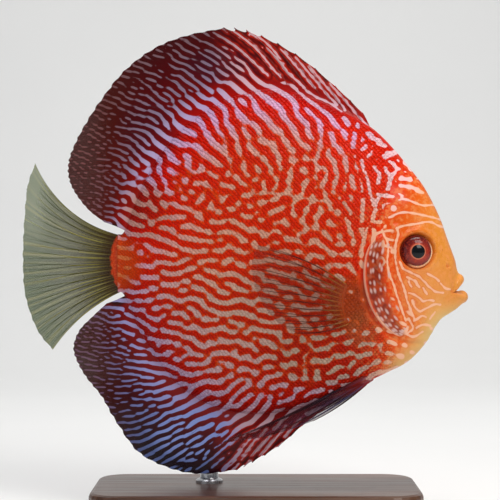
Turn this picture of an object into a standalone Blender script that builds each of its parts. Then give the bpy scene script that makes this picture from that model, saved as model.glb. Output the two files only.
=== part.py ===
"""Discus fish on a display stand, a life-size model. Metres, +Z up, the stand rests on Z = 0.

The fish faces +X and its right flank faces -Y. Every outline is given in the fish's own side
plane, in millimetres: x towards the head, z above the midline of the flank.
"""

import math

import bmesh
import bpy
import numpy as np
from mathutils import Matrix, Vector
from mathutils.bvhtree import BVHTree

MM = 0.001
CONTACT_GAP = 0.3
MIDLINE_HEIGHT = 97.7

# One row for each station of the body, from the tail root to the muzzle:
# top x, top z, bottom x, bottom z, half width, top edge, bottom edge, fullness, bow.
# An edge is the half width of the flat strip that a fin stands on, a low fullness is a
# boxier section, and bow is how far the station bulges towards the head at half height.
STATIONS = (
    (-48.7, 8.0, -48.7, -14.3, 2.6, 0.9, 0.9, 1.00, 0.0),
    (-46.4, 9.0, -46.4, -15.3, 3.5, 1.2, 1.2, 1.00, 0.0),
    (-42.6, 18.3, -42.6, -23.7, 5.4, 1.4, 1.4, 1.05, 0.0),
    (-37.6, 30.2, -37.2, -34.8, 7.6, 1.5, 1.5, 1.10, 0.0),
    (-30.0, 42.0, -28.8, -46.6, 10.0, 1.5, 1.5, 1.15, 0.0),
    (-18.9, 53.1, -16.6, -56.2, 12.5, 1.5, 1.5, 1.15, 0.0),
    (-5.2, 60.7, -1.3, -60.7, 14.5, 1.5, 1.5, 1.15, -0.4),
    (9.4, 63.8, 13.2, -60.2, 15.7, 1.5, 1.5, 1.12, -1.2),
    (23.9, 60.7, 26.5, -56.9, 16.3, 1.5, 1.5, 1.08, -2.8),
    (36.9, 55.0, 40.4, -51.4, 16.4, 1.4, 1.4, 1.00, -5.4),
    (49.1, 48.1, 53.6, -45.3, 15.8, 1.2, 1.2, 0.95, -8.6),
    (59.4, 37.4, 62.0, -40.8, 14.4, 1.0, 1.0, 0.92, -7.0),
    (68.2, 26.0, 69.0, -33.3, 12.2, 0.9, 0.9, 0.90, -3.8),
    (73.9, 14.9, 73.9, -25.4, 9.9, 0.8, 0.8, 0.88, -1.9),
    (77.7, 4.6, 77.7, -22.5, 7.8, 0.8, 0.8, 0.84, -0.8),
    (80.4, -3.4, 80.6, -20.6, 5.8, 0.8, 0.8, 0.78, 0.0),
)
# How much leaner the back is than the belly, as a difference in fullness.
LEANER_BACK = 0.22
TAIL_ROOT, STALK_CUT, GILL_CUT, MUZZLE = 0.0, 2.2, 10.0, 15.0
STALK_COLUMNS, TRUNK_COLUMNS, HEAD_COLUMNS, BODY_ROWS = 5, 26, 18, 18

EYE_CENTRE = (64.7, 1.4)
EYE_RADIUS, EYE_DEPTH, EYE_SUNK = 6.3, 4.3, 2.3
SOCKET_RIM_RADIUS, SOCKET_RIM_THICKNESS = 6.75, 0.75

# Lips: x, z of the middle, radius in the middle, then x, z and radius at the corners.
UPPER_LIP = (81.3, -8.7, 2.15, 77.0, -12.6, 1.5)
LOWER_LIP = (82.7, -16.3, 2.55, 77.2, -14.8, 1.6)
LIP_HALF_SPAN = 4.7
MOUTH_SLOT = (82.6, -12.6, 6.4, 3.4, 1.05)
NOSTRIL = (76.4, -4.2, 0.75)

# Gill cover: x, z of its free rear edge and of its front edge, from top to bottom.
GILL_REAR = ((49.0, 7.2), (45.4, 2.0), (44.0, -5.0), (44.4, -12.0), (46.6, -19.2),
             (50.3, -25.2), (54.9, -29.2), (59.2, -31.1))
GILL_FRONT = ((50.8, 7.6), (54.0, 3.6), (55.7, -2.6), (56.3, -9.9), (57.3, -16.8),
              (59.3, -22.9), (60.6, -27.9), (60.2, -30.7))
GILL_EDGE, GILL_MIDDLE, GILL_FRONT_EDGE, GILL_LIFT = 0.8, 1.15, 0.5, 0.2

# Fin rays: station of the root on the body's edge, x and z of the tip, bulge of the ray.
DORSAL_SPINES = ((9.92, 44.7, 54.4, 0.02), (9.5, 35.5, 63.4, 0.03), (9.0, 21.8, 75.0, 0.04),
                 (8.4, 9.6, 82.3, 0.05), (7.8, -0.8, 86.3, 0.06), (7.4, -8.4, 86.9, 0.07))
DORSAL_RAYS = ((7.376, -8.76, 86.83, 0.07), (6.7, -23.0, 83.8, 0.09), (6.1, -35.3, 78.9, 0.10),
               (5.5, -46.6, 70.4, 0.10), (4.9, -55.6, 59.0, 0.10), (4.3, -62.6, 48.0, 0.09),
               (3.7, -66.8, 39.2, 0.08), (3.1, -68.0, 33.2, 0.06), (2.6, -67.2, 27.6, 0.05),
               (2.1, -64.4, 22.4, 0.04), (1.6, -59.6, 16.8, 0.03), (1.12, -54.0, 12.6, 0.02))
ANAL_SPINES = ((8.75, 29.2, -59.6, 0.02), (8.3, 21.6, -65.3, 0.03), (7.8, 12.4, -73.3, 0.04),
               (7.3, 2.5, -79.4, 0.05), (7.0, -3.4, -82.2, 0.06))
ANAL_RAYS = ((6.974, -3.77, -82.33, 0.06), (6.4, -17.0, -83.7, 0.08), (5.8, -29.0, -81.6, 0.09),
             (5.2, -41.2, -75.4, 0.10), (4.6, -49.8, -63.4, 0.09), (4.1, -55.2, -54.0, 0.08),
             (3.6, -60.9, -47.0, 0.07), (3.1, -64.4, -40.9, 0.05), (2.6, -65.9, -35.1, 0.04),
             (2.1, -63.6, -28.7, 0.03), (1.6, -58.3, -23.3, 0.02), (1.12, -53.2, -18.6, 0.02))
# Tail fin: z of the root, x and z of the tip, bulge, and how far the tip curls to the viewer.
CAUDAL_RAYS = ((7.0, -79.6, 34.8, -0.13, -6.5), (5.2, -82.6, 26.4, -0.10, -6.0),
               (2.7, -84.0, 15.2, -0.06, -3.6), (-0.2, -84.9, 4.6, -0.02, -1.4),
               (-3.1, -85.2, -5.0, 0.0, 0.0), (-5.9, -84.6, -14.1, 0.01, 0.6),
               (-8.6, -82.4, -22.6, 0.03, 1.2), (-11.2, -79.0, -30.4, 0.05, 1.8),
               (-13.3, -74.0, -36.4, 0.07, 2.4))
# Paired fins: x, z of the root and of the tip, and the bulge, from the upper ray down.
PECTORAL_RAYS = ((40.2, -13.0, 4.4, 3.6, 0.06), (39.6, -14.6, 2.5, -0.8, 0.05),
                 (39.2, -16.3, 2.1, -5.8, 0.03), (39.0, -18.1, 2.9, -10.8, 0.01),
                 (39.0, -19.9, 4.9, -15.8, -0.01), (39.2, -21.7, 8.0, -20.7, -0.03),
                 (39.6, -23.3, 12.6, -25.3, -0.05), (40.2, -24.8, 18.6, -28.8, -0.07))
PECTORAL_OUTWARD = 9.0
PELVIC_RAYS = ((48.6, -43.9, 5.5, -65.0, -0.010), (48.8, -44.8, -8.6, -70.6, -0.020),
               (48.6, -45.8, 7.0, -68.6, -0.030), (48.2, -46.7, 17.8, -65.4, -0.035),
               (47.6, -47.4, 25.4, -62.6, -0.040))
PELVIC_PLANE, PELVIC_OUTWARD = 3.9, 4.2

MEMBRANE, RAY_RIDGE, RAY_TIP = 0.27, 0.58, 0.30

STAND_CENTRE_X = 4.0
STAND_LENGTH, STAND_DEPTH, STAND_HEIGHT, STAND_CORNER = 124.0, 64.0, 10.0, 12.0
ROD_CENTRE = (-14.0, 6.4)
ROD_RADIUS, ROD_SIDES = 2.5, 20

SKIN_RED = (0.62, 0.07, 0.02)
HEAD_ORANGE = (0.80, 0.27, 0.06)
FIN_RED = (0.35, 0.03, 0.03)
CLEAR_OLIVE = (0.32, 0.30, 0.16)
EYE_MAROON = (0.20, 0.03, 0.03)
STAND_WALNUT = (0.09, 0.045, 0.025)
ROD_STEEL = (0.55, 0.56, 0.58)


def clear_scene():
    for old in list(bpy.data.objects):
        bpy.data.objects.remove(old)


def material(name, colour, roughness=0.4, metallic=0.0):
    made = bpy.data.materials.new(name)
    made.use_nodes = True
    shader = made.node_tree.nodes["Principled BSDF"]
    shader.inputs["Base Color"].default_value = (*colour, 1.0)
    shader.inputs["Roughness"].default_value = roughness
    shader.inputs["Metallic"].default_value = metallic
    return made


def spline(rows, t):
    """The smooth curve through the rows, at t from 0 to the last row's number."""
    rows = np.asarray(rows, float)
    i = min(max(math.floor(t), 0), len(rows) - 2)
    f = t - i
    a, b = rows[i], rows[i + 1]
    before = rows[i - 1] if i else 2 * a - b
    after = rows[i + 2] if i + 2 < len(rows) else 2 * b - a
    return 0.5 * (
        2 * a
        + (b - before) * f
        + (2 * before - 5 * a + 4 * b - after) * f**2
        + (3 * a - before - 3 * b + after) * f**3
    )


def smooth(t):
    t = min(max(t, 0.0), 1.0)
    return t * t * (3 - 2 * t)


def place(x, y, z):
    """A point of the fish's own frame, in millimetres, as one of the part's, in metres."""
    return (x * MM, y * MM, (z + MIDLINE_HEIGHT) * MM)


def body_point(station, angle):
    """x, half thickness and z on the flank, with the angle from the lower edge to the upper."""
    tx, tz, bx, bz, width, top_edge, bottom_edge, fullness, bow = spline(STATIONS, station)
    rise = 0.5 + 0.5 * math.sin(angle)
    edge = bottom_edge + (top_edge - bottom_edge) * rise
    fullness += LEANER_BACK * (rise - 0.5)
    half = edge + (width - edge) * max(math.cos(angle), 0.0) ** fullness
    x = bx + (tx - bx) * rise + bow * 4 * rise * (1 - rise)
    return x, half, bz + (tz - bz) * rise


def edge_point(station, upper):
    """x and z of the body's upper or lower edge."""
    row = spline(STATIONS, station)
    return Vector(row[0:2]) if upper else Vector(row[2:4])


def slab(name, right, left, finish):
    """A closed solid from two like grids of points, with both split into triangles alike."""
    columns, rows = len(right), len(right[0])
    shape = bmesh.new()
    verts = [
        [[shape.verts.new(place(*point)) for point in line] for line in grid]
        for grid in (right, left)
    ]

    def quad(a, b, c, d):
        shape.faces.new((a, b, c))
        shape.faces.new((a, c, d))

    for side in verts:
        for i in range(columns - 1):
            for j in range(rows - 1):
                quad(side[i][j], side[i + 1][j], side[i + 1][j + 1], side[i][j + 1])
    near, far = verts
    for j in (0, rows - 1):
        for i in range(columns - 1):
            quad(near[i][j], near[i + 1][j], far[i + 1][j], far[i][j])
    for i in (0, columns - 1):
        for j in range(rows - 1):
            quad(near[i][j], near[i][j + 1], far[i][j + 1], far[i][j])
    return finished(name, shape, finish)


def finished(name, shape, finish):
    """An object of this closed shape, with its faces out and its round faces smooth."""
    bmesh.ops.recalc_face_normals(shape, faces=shape.faces)
    if shape.calc_volume(signed=True) < 0:
        bmesh.ops.reverse_faces(shape, faces=shape.faces)
    mesh = bpy.data.meshes.new(name)
    shape.to_mesh(mesh)
    shape.free()
    mesh.shade_smooth()
    mesh.set_sharp_from_angle(angle=math.radians(40))
    mesh.materials.append(finish)
    made = bpy.data.objects.new(name, mesh)
    bpy.context.scene.collection.objects.link(made)
    return made


def combine(body, pieces, operation):
    """Joins the pieces to the body, or cuts them from it, in one Boolean that is applied."""
    group = bpy.data.collections.new(body.name + "_" + operation.lower())
    for piece in pieces:
        bpy.context.scene.collection.objects.unlink(piece)
        group.objects.link(piece)
    joint = body.modifiers.new(operation.title(), "BOOLEAN")
    joint.operation = operation
    joint.operand_type = "COLLECTION"
    joint.collection = group
    graph = bpy.context.evaluated_depsgraph_get()
    result = bpy.data.meshes.new_from_object(body.evaluated_get(graph))
    body.modifiers.clear()
    body.data = result
    for piece in pieces:
        bpy.data.objects.remove(piece)
    bpy.data.collections.remove(group)
    keep_largest(body)


def keep_largest(body):
    """Drops every loose surface of the object but the largest."""
    shape = bmesh.new()
    shape.from_mesh(body.data)
    unseen = set(shape.verts)
    surfaces = []
    while unseen:
        reached = {unseen.pop()}
        edge = list(reached)
        while edge:
            near = {e.other_vert(v) for v in edge for e in v.link_edges} - reached
            reached |= near
            edge = list(near)
        unseen -= reached
        surfaces.append(reached)
    largest = max(surfaces, key=len)
    bmesh.ops.delete(
        shape, geom=[v for v in shape.verts if v not in largest], context="VERTS"
    )
    shape.to_mesh(body.data)
    shape.free()


def body_length(name, start, end, columns, finish):
    """One length of the body between two stations."""
    grids = ([], [])
    for i in range(columns + 1):
        station = start + (end - start) * i / columns
        lines = ([], [])
        for j in range(BODY_ROWS + 1):
            x, half, z = body_point(station, math.pi * (j / BODY_ROWS - 0.5))
            lines[0].append((x, -half, z))
            lines[1].append((x, half, z))
        for grid, line in zip(grids, lines):
            grid.append(line)
    return slab(name, *grids, finish)


def shift_station(station, along):
    """The station this many millimetres nearer the head, along the midline."""
    here = body_point(station, 0.0)[0]
    step = body_point(station + 0.02, 0.0)[0] - here
    return station + along * 0.02 / step


class Flank:
    """The outer surface of a solid, for setting pieces on it."""

    def __init__(self, solid):
        graph = bpy.context.evaluated_depsgraph_get()
        self.tree = BVHTree.FromObject(solid, graph)

    def half_thickness(self, x, z):
        """How far the right flank is from the middle plane, or None beside the solid."""
        start = Vector(place(x, -60.0, z))
        hit = self.tree.ray_cast(start, Vector((0, 1, 0)))[0]
        return None if hit is None else -hit.y / MM

    def underside(self, x, y):
        """The height of the surface straight above, less the gap that pieces keep."""
        hit, normal = self.tree.ray_cast(Vector((x * MM, y * MM, 0)), Vector((0, 0, 1)))[:2]
        return hit.z / MM - MIDLINE_HEIGHT - (CONTACT_GAP + 0.05) / abs(normal.z)


def ray_point(root, tip, bulge, t):
    """A point along a gently curved ray. A positive bulge is to the right of its way."""
    way = tip - root
    across = Vector((way.y, -way.x))
    return root + way * t + across * bulge * 4 * t * (1 - t)


def ray_half_thickness(column, t, root_half, ridge=RAY_RIDGE):
    """Half the fin's thickness: rays are even columns, and the root is fleshy."""
    on_ray = column % 2 == 0
    outer = RAY_TIP if on_ray else MEMBRANE
    inner = ridge if on_ray else MEMBRANE
    blade = inner + (outer - inner) * t
    fleshy = (1 - t) ** 5 if t < 1 else 0.0
    return blade + max(root_half - blade, 0.0) * fleshy


def edge_fin(name, keys, upper, ray_count, rows, notch, finish):
    """A fin that stands on the body's upper or lower edge, its rays raised as ridges."""
    outward = Vector((0, 1 if upper else -1))
    turn = 1 if upper else -1
    grids = ([], [])
    columns = 2 * ray_count - 1
    for column in range(columns):
        station, tip_x, tip_z, bulge = spline(keys, (len(keys) - 1) * column / (columns - 1))
        along = edge_point(station + 0.01, upper) - edge_point(station - 0.01, upper)
        normal = Vector((-along.y, along.x)).normalized()
        normal = normal if normal.dot(outward) > 0 else -normal
        root = edge_point(station, upper) + normal * (CONTACT_GAP + 0.05)
        row = spline(STATIONS, station)
        root_half = (row[5] if upper else row[6]) - 0.1
        reach = 1.0 if column % 2 == 0 else 1.0 - notch
        lines = ([], [])
        for j in range(rows + 1):
            t = reach * (j / rows) ** 1.15
            point = ray_point(root, Vector((tip_x, tip_z)), turn * bulge, t)
            half = ray_half_thickness(column, t, root_half)
            lines[0].append((point.x, -half, point.y))
            lines[1].append((point.x, half, point.y))
        for grid, line in zip(grids, lines):
            grid.append(line)
    return slab(name, *grids, finish)


def tail_fin(finish):
    """The tail fin, a fan of rays with its upper corner curled a little to the viewer."""
    ray_count, rows, notch = 15, 8, 0.012
    root_x = STATIONS[0][0] - CONTACT_GAP
    columns = 2 * ray_count - 1
    grids = ([], [])
    for column in range(columns):
        root_z, tip_x, tip_z, bulge, curl = spline(
            CAUDAL_RAYS, (len(CAUDAL_RAYS) - 1) * column / (columns - 1)
        )
        root = Vector((root_x, root_z))
        across = (root_z + 3.1) / 10.2
        root_half = 0.9 + 1.3 * math.sqrt(max(1 - across * across, 0.0))
        reach = 1.0 if column % 2 == 0 else 1.0 - notch
        lines = ([], [])
        for j in range(rows + 1):
            t = reach * (j / rows)
            point = ray_point(root, Vector((tip_x, tip_z)), bulge, t)
            y = curl * smooth((t - 0.45) / 0.55)
            half = ray_half_thickness(column, t, root_half)
            lines[0].append((point.x, y - half, point.y))
            lines[1].append((point.x, y + half, point.y))
        for grid, line in zip(grids, lines):
            grid.append(line)
    return slab("caudal_fin", *grids, finish)


def paired_fin(name, side, keys, ray_count, rows, inner_face, root_half, finish):
    """A fin beside the body. inner_face gives how far its inner face is from the middle."""
    columns = 2 * ray_count - 1
    grids = ([], [])
    for column in range(columns):
        root_x, root_z, tip_x, tip_z, bulge = spline(
            keys, (len(keys) - 1) * column / (columns - 1)
        )
        reach = 1.0 if column % 2 == 0 else 0.985
        lines = ([], [])
        for j in range(rows + 1):
            t = reach * (j / rows) ** 1.1
            point = ray_point(Vector((root_x, root_z)), Vector((tip_x, tip_z)), bulge, t)
            inner = inner_face(point.x, point.y, t)
            half = ray_half_thickness(column, t, root_half, 0.45)
            lines[0].append((point.x, side * inner, point.y))
            lines[1].append((point.x, side * (inner + 2 * half), point.y))
        for grid, line in zip(grids, lines):
            grid.append(line)
    return slab(name, *grids, finish)


def gill_cover(name, side, flank, finish):
    """The bony gill cover, a plate raised on the cheek with a free rear edge."""
    steps, across_steps = 14, 6
    grids = ([], [])
    for i in range(steps + 1):
        t = (len(GILL_REAR) - 1) * i / steps
        rear, front = Vector(spline(GILL_REAR, t)), Vector(spline(GILL_FRONT, t))
        lines = ([], [])
        for j in range(across_steps + 1):
            s = j / across_steps
            x, z = rear.lerp(front, s)
            base = flank.half_thickness(x, z) + CONTACT_GAP + GILL_LIFT
            edge = GILL_EDGE + (GILL_FRONT_EDGE - GILL_EDGE) * s
            thick = edge + (GILL_MIDDLE - edge) * math.sin(math.pi * s)
            lines[0].append((x, side * base, z))
            lines[1].append((x, side * (base + thick), z))
        for grid, line in zip(grids, lines):
            grid.append(line)
    return slab(name, *grids, finish)


def eye_turn(side, flank):
    """The middle of an eye, and the turn that faces it square out of the head."""
    x, z = EYE_CENTRE
    reach = 4.0
    here = flank.half_thickness(x, z)
    slope_x = (flank.half_thickness(x + reach, z) - flank.half_thickness(x - reach, z)) / (2 * reach)
    slope_z = (flank.half_thickness(x, z + reach) - flank.half_thickness(x, z - reach)) / (2 * reach)
    outward = Vector((-slope_x, side, -slope_z)).normalized()
    centre = Vector(place(x, side * here, z)) - outward * EYE_SUNK * MM
    turn = Vector((0, 0, 1)).rotation_difference(outward).to_matrix().to_4x4()
    return Matrix.Translation(centre) @ turn


def eyeball(name, place_matrix, swell, finish):
    """A flattened ball, its axis out of the head. swell widens it all round."""
    shape = bmesh.new()
    bmesh.ops.create_uvsphere(shape, u_segments=20, v_segments=10, radius=1.0)
    size = Matrix.Diagonal(
        ((EYE_RADIUS + swell) * MM, (EYE_RADIUS + swell) * MM, (EYE_DEPTH + swell) * MM, 1.0)
    )
    bmesh.ops.transform(shape, matrix=place_matrix @ size, verts=shape.verts)
    return finished(name, shape, finish)


def ring(name, place_matrix, radius, thickness, finish):
    """The raised rim of an eye socket."""
    turns, sides = 22, 6
    shape = bmesh.new()
    loops = []
    for i in range(turns):
        a = 2 * math.pi * i / turns
        loop = []
        for j in range(sides):
            b = 2 * math.pi * j / sides
            r = radius + thickness * math.cos(b)
            height = EYE_SUNK - 0.55 + thickness * math.sin(b)
            point = place_matrix @ Vector((r * math.cos(a) * MM, r * math.sin(a) * MM, height * MM))
            loop.append(shape.verts.new(point))
        loops.append(loop)
    for i in range(turns):
        for j in range(sides):
            k, m = (i + 1) % turns, (j + 1) % sides
            shape.faces.new((loops[i][j], loops[k][j], loops[k][m], loops[i][m]))
    return finished(name, shape, finish)


def lip(name, sizes, finish):
    """A lip, a tapered roll that runs round the front of the muzzle."""
    mid_x, mid_z, mid_r, end_x, end_z, end_r = sizes
    turns, sides = 14, 9
    shape = bmesh.new()
    loops = []
    for i in range(turns + 1):
        a = math.pi * (i / turns - 0.5)
        front = math.cos(a)
        centre = Vector((
            end_x + (mid_x - end_x) * front,
            LIP_HALF_SPAN * math.sin(a),
            end_z + (mid_z - end_z) * front,
        ))
        radius = end_r + (mid_r - end_r) * front
        out = Vector((front, math.sin(a), 0.0))
        loop = []
        for j in range(sides):
            b = 2 * math.pi * j / sides
            point = centre + out * radius * math.cos(b)
            point.z += radius * math.sin(b)
            loop.append(shape.verts.new(place(*point)))
        loops.append(loop)
    for i in range(turns):
        for j in range(sides):
            m = (j + 1) % sides
            shape.faces.new((loops[i][j], loops[i + 1][j], loops[i + 1][m], loops[i][m]))
    shape.faces.new(loops[0])
    shape.faces.new(loops[-1])
    return finished(name, shape, finish)


def ball(name, centre, radii, finish):
    """A ball with its own radius along each axis, used to cut a hollow."""
    shape = bmesh.new()
    bmesh.ops.create_uvsphere(shape, u_segments=14, v_segments=8, radius=1.0)
    size = Matrix.Diagonal((*(r * MM for r in radii), 1.0))
    bmesh.ops.transform(
        shape, matrix=Matrix.Translation(place(*centre)) @ size, verts=shape.verts
    )
    return finished(name, shape, finish)


def shape_head(head, finish, eye_finish):
    """Adds the lips and socket rims, then cuts the mouth, nostrils and sockets; sets the eyes."""
    flank = Flank(head)
    turns = {"right": eye_turn(-1, flank), "left": eye_turn(1, flank)}
    added = [lip("upper_lip", UPPER_LIP, finish), lip("lower_lip", LOWER_LIP, finish)]
    added += [
        ring("rim_" + side, turn, SOCKET_RIM_RADIUS, SOCKET_RIM_THICKNESS, finish)
        for side, turn in turns.items()
    ]
    combine(head, added, "UNION")
    slot_x, slot_z, slot_deep, slot_wide, slot_high = MOUTH_SLOT
    cuts = [ball("mouth", (slot_x, 0, slot_z), (slot_deep, slot_wide, slot_high), finish)]
    nostril_x, nostril_z, nostril_r = NOSTRIL
    for side in (-1, 1):
        y = side * flank.half_thickness(nostril_x, nostril_z)
        cuts.append(ball("nostril", (nostril_x, y, nostril_z), (nostril_r,) * 3, finish))
    cuts += [eyeball("socket", turn, CONTACT_GAP, finish) for turn in turns.values()]
    combine(head, cuts, "DIFFERENCE")
    for side, turn in turns.items():
        eyeball("eye_" + side, turn, 0.0, eye_finish)


def pectoral_face(flank):
    """The inner face of a pectoral fin: on the flank at its root, then swung outward."""
    def face(x, z, t):
        base = flank.half_thickness(x, z)
        return base + CONTACT_GAP + 0.1 + PECTORAL_OUTWARD * smooth((t - 0.10) / 1.2) * 1.4
    return face


def pelvic_face(flank):
    """The inner face of a pelvic fin: beside the keel of the belly, clear of the flank."""
    def face(x, z, t):
        base = flank.half_thickness(x, z)
        plane = PELVIC_PLANE + PELVIC_OUTWARD * smooth(t)
        return plane if base is None else max(plane, base + CONTACT_GAP + 0.15)
    return face


def stand(flank, wood, steel):
    """The display stand: a rounded base, and a rod whose top is cut to the far flank."""
    shape = bmesh.new()
    corner_steps = 6
    outline = []
    for k, (sx, sy) in enumerate(((1, 1), (-1, 1), (-1, -1), (1, -1))):
        for i in range(corner_steps + 1):
            a = math.pi / 2 * (k + i / corner_steps)
            x = sx * (STAND_LENGTH / 2 - STAND_CORNER) + STAND_CORNER * math.cos(a)
            y = sy * (STAND_DEPTH / 2 - STAND_CORNER) + STAND_CORNER * math.sin(a)
            outline.append(shape.verts.new(((STAND_CENTRE_X + x) * MM, y * MM, 0.0)))
    bottom = shape.faces.new(outline)
    top = bmesh.ops.extrude_face_region(shape, geom=[bottom])["geom"]
    raised = [v for v in top if isinstance(v, bmesh.types.BMVert)]
    bmesh.ops.translate(shape, vec=(0, 0, STAND_HEIGHT * MM), verts=raised)
    rim = [
        e for e in shape.edges
        if all(v.co.z > STAND_HEIGHT * MM / 2 for v in e.verts) and e.calc_face_angle(0) > 1
    ]
    bmesh.ops.bevel(shape, geom=rim, offset=1.6 * MM, segments=2, affect="EDGES", profile=0.5)
    finished("stand_base", shape, wood)

    rod_x, rod_y = ROD_CENTRE
    shape = bmesh.new()
    foot_z = (STAND_HEIGHT + CONTACT_GAP) * MM
    feet, tops = [], []
    for i in range(ROD_SIDES):
        a = 2 * math.pi * i / ROD_SIDES
        x = rod_x + ROD_RADIUS * math.cos(a)
        y = rod_y + ROD_RADIUS * math.sin(a)
        feet.append(shape.verts.new((x * MM, y * MM, foot_z)))
        tops.append(shape.verts.new(place(x, y, flank.underside(x, y))))
    crown = shape.verts.new(place(rod_x, rod_y, flank.underside(rod_x, rod_y)))
    shape.faces.new(feet)
    for i in range(ROD_SIDES):
        k = (i + 1) % ROD_SIDES
        shape.faces.new((feet[i], feet[k], tops[k], tops[i]))
        shape.faces.new((tops[i], tops[k], crown))
    finished("stand_rod", shape, steel)


def main():
    clear_scene()
    skin = material("skin", SKIN_RED, 0.35)
    face = material("face", HEAD_ORANGE, 0.35)
    fin = material("fin", FIN_RED, 0.4)
    clear = material("clear_fin", CLEAR_OLIVE, 0.4)
    eye = material("eye", EYE_MAROON, 0.1)
    wood = material("stand_wood", STAND_WALNUT, 0.45)
    steel = material("stand_steel", ROD_STEEL, 0.3, 1.0)

    body_length("tail_stalk", TAIL_ROOT, shift_station(STALK_CUT, -CONTACT_GAP), STALK_COLUMNS, skin)
    trunk = body_length(
        "trunk", STALK_CUT, shift_station(GILL_CUT, -CONTACT_GAP - 0.1), TRUNK_COLUMNS, skin
    )
    head = body_length("head", GILL_CUT, MUZZLE, HEAD_COLUMNS, face)
    trunk_flank, cheek = Flank(trunk), Flank(head)

    edge_fin("dorsal_fin_spines", DORSAL_SPINES, True, 10, 6, 0.05, fin)
    edge_fin("dorsal_fin_rays", DORSAL_RAYS, True, 30, 7, 0.012, fin)
    edge_fin("anal_fin_spines", ANAL_SPINES, False, 9, 6, 0.05, fin)
    edge_fin("anal_fin_rays", ANAL_RAYS, False, 29, 7, 0.012, fin)
    tail_fin(clear)
    for side_name, side in (("right", -1), ("left", 1)):
        gill_cover("gill_cover_" + side_name, side, cheek, face)
        paired_fin("pectoral_fin_" + side_name, side, PECTORAL_RAYS, 12, 6,
                   pectoral_face(trunk_flank), 1.0, clear)
        paired_fin("pelvic_fin_" + side_name, side, PELVIC_RAYS, 5, 9,
                   pelvic_face(trunk_flank), 1.0, fin)
    shape_head(head, face, eye)
    stand(trunk_flank, wood, steel)


main()
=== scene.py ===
"""The looks of a life-size discus fish model on its stand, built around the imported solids.

The fish faces +X and its right flank faces -Y. Shapes are given in millimetres in the fish's own
side plane, x towards the head and z above the midline of the flank, and are placed in metres.
"""

import logging
import math
from dataclasses import dataclass
from enum import Enum

import bmesh
import bpy
import numpy as np
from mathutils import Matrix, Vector
from mathutils.bvhtree import BVHTree


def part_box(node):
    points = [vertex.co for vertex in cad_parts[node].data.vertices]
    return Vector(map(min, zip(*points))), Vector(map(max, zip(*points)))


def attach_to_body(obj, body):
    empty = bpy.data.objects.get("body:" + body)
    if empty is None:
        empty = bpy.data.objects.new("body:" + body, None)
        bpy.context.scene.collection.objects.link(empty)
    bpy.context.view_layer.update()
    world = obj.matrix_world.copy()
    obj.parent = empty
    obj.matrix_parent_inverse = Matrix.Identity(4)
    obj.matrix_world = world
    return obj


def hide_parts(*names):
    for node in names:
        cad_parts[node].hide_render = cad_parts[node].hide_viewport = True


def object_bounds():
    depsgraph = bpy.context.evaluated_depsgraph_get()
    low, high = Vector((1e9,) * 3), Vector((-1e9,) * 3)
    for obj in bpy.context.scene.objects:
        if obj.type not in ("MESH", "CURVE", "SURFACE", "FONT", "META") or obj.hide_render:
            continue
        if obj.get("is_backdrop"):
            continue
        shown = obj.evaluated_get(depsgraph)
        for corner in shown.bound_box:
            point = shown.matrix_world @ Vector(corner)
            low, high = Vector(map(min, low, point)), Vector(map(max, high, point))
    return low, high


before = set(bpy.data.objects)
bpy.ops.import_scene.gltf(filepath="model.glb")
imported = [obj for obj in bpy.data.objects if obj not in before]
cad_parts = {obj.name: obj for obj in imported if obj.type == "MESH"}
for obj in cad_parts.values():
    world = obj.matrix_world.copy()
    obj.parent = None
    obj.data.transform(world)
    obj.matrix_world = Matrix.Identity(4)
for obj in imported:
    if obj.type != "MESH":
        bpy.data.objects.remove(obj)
CAD_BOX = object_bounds()

log = logging.getLogger("discus")

MM = 0.001
MIDLINE_HEIGHT = 97.7
BAKE_PATCH = 0.003

Array = np.ndarray
Colour = tuple[float, float, float]
Material = bpy.types.Material
Mesh = bpy.types.Mesh
Object = bpy.types.Object
Socket = bpy.types.NodeSocket


class Side(Enum):
    """A flank of the fish, by the sign of its Y."""

    RIGHT = -1
    LEFT = 1

    @property
    def word(self) -> str:
        """The flank's name in names of pieces and nodes."""
        return self.name.lower()


class Edge(Enum):
    """An edge of the body that an unpaired fin stands on."""

    UPPER = 1
    LOWER = -1


def tint(red: int, green: int, blue: int) -> Colour:
    """A colour's linear values from its screen values, 0 to 255."""
    values = (c / 255 for c in (red, green, blue))
    return tuple(v / 12.92 if v <= 0.04045 else ((v + 0.055) / 1.055) ** 2.4 for v in values)


def stops(*rows: tuple) -> tuple:
    """A ramp's stops, from rows of a value and a colour's screen values."""
    return tuple((at, tint(*colour)) for at, *colour in rows)


def rise(value: Array, low: float, high: float) -> Array:
    """A smooth step from 0 at low to 1 at high, where high may be the smaller."""
    t = np.clip((np.asarray(value, float) - low) / (high - low), 0, 1)
    return t * t * (3 - 2 * t)


def bell(value: Array, width: float) -> Array:
    """A smooth hump, 1 where a value is 0 and near 0 at twice the width."""
    return np.exp(-((value / width) ** 2))


def unit(vectors: Array) -> Array:
    """Vectors along the last axis, brought to length 1."""
    return vectors / np.maximum(np.linalg.norm(vectors, axis=-1, keepdims=True), 1e-9)


def spline(rows: tuple, t: Array) -> Array:
    """The smooth curve through rows of numbers.

    Args:
        rows: The rows that the curve passes through.
        t: Where on the curve, from 0 to the last row's number.

    Returns:
        The rows at those places, along a new last axis.
    """
    known = np.asarray(rows, float)
    t = np.asarray(t, float)
    i = np.clip(np.floor(t).astype(int), 0, len(known) - 2)
    f = (t - i)[..., None]
    padded = np.vstack([2 * known[0] - known[1], known, 2 * known[-1] - known[-2]])
    before, a, b, after = (padded[i + k] for k in range(4))
    return 0.5 * (
        2 * a
        + (b - before) * f
        + (2 * before - 5 * a + 4 * b - after) * f**2
        + (3 * a - before - 3 * b + after) * f**3
    )


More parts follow.
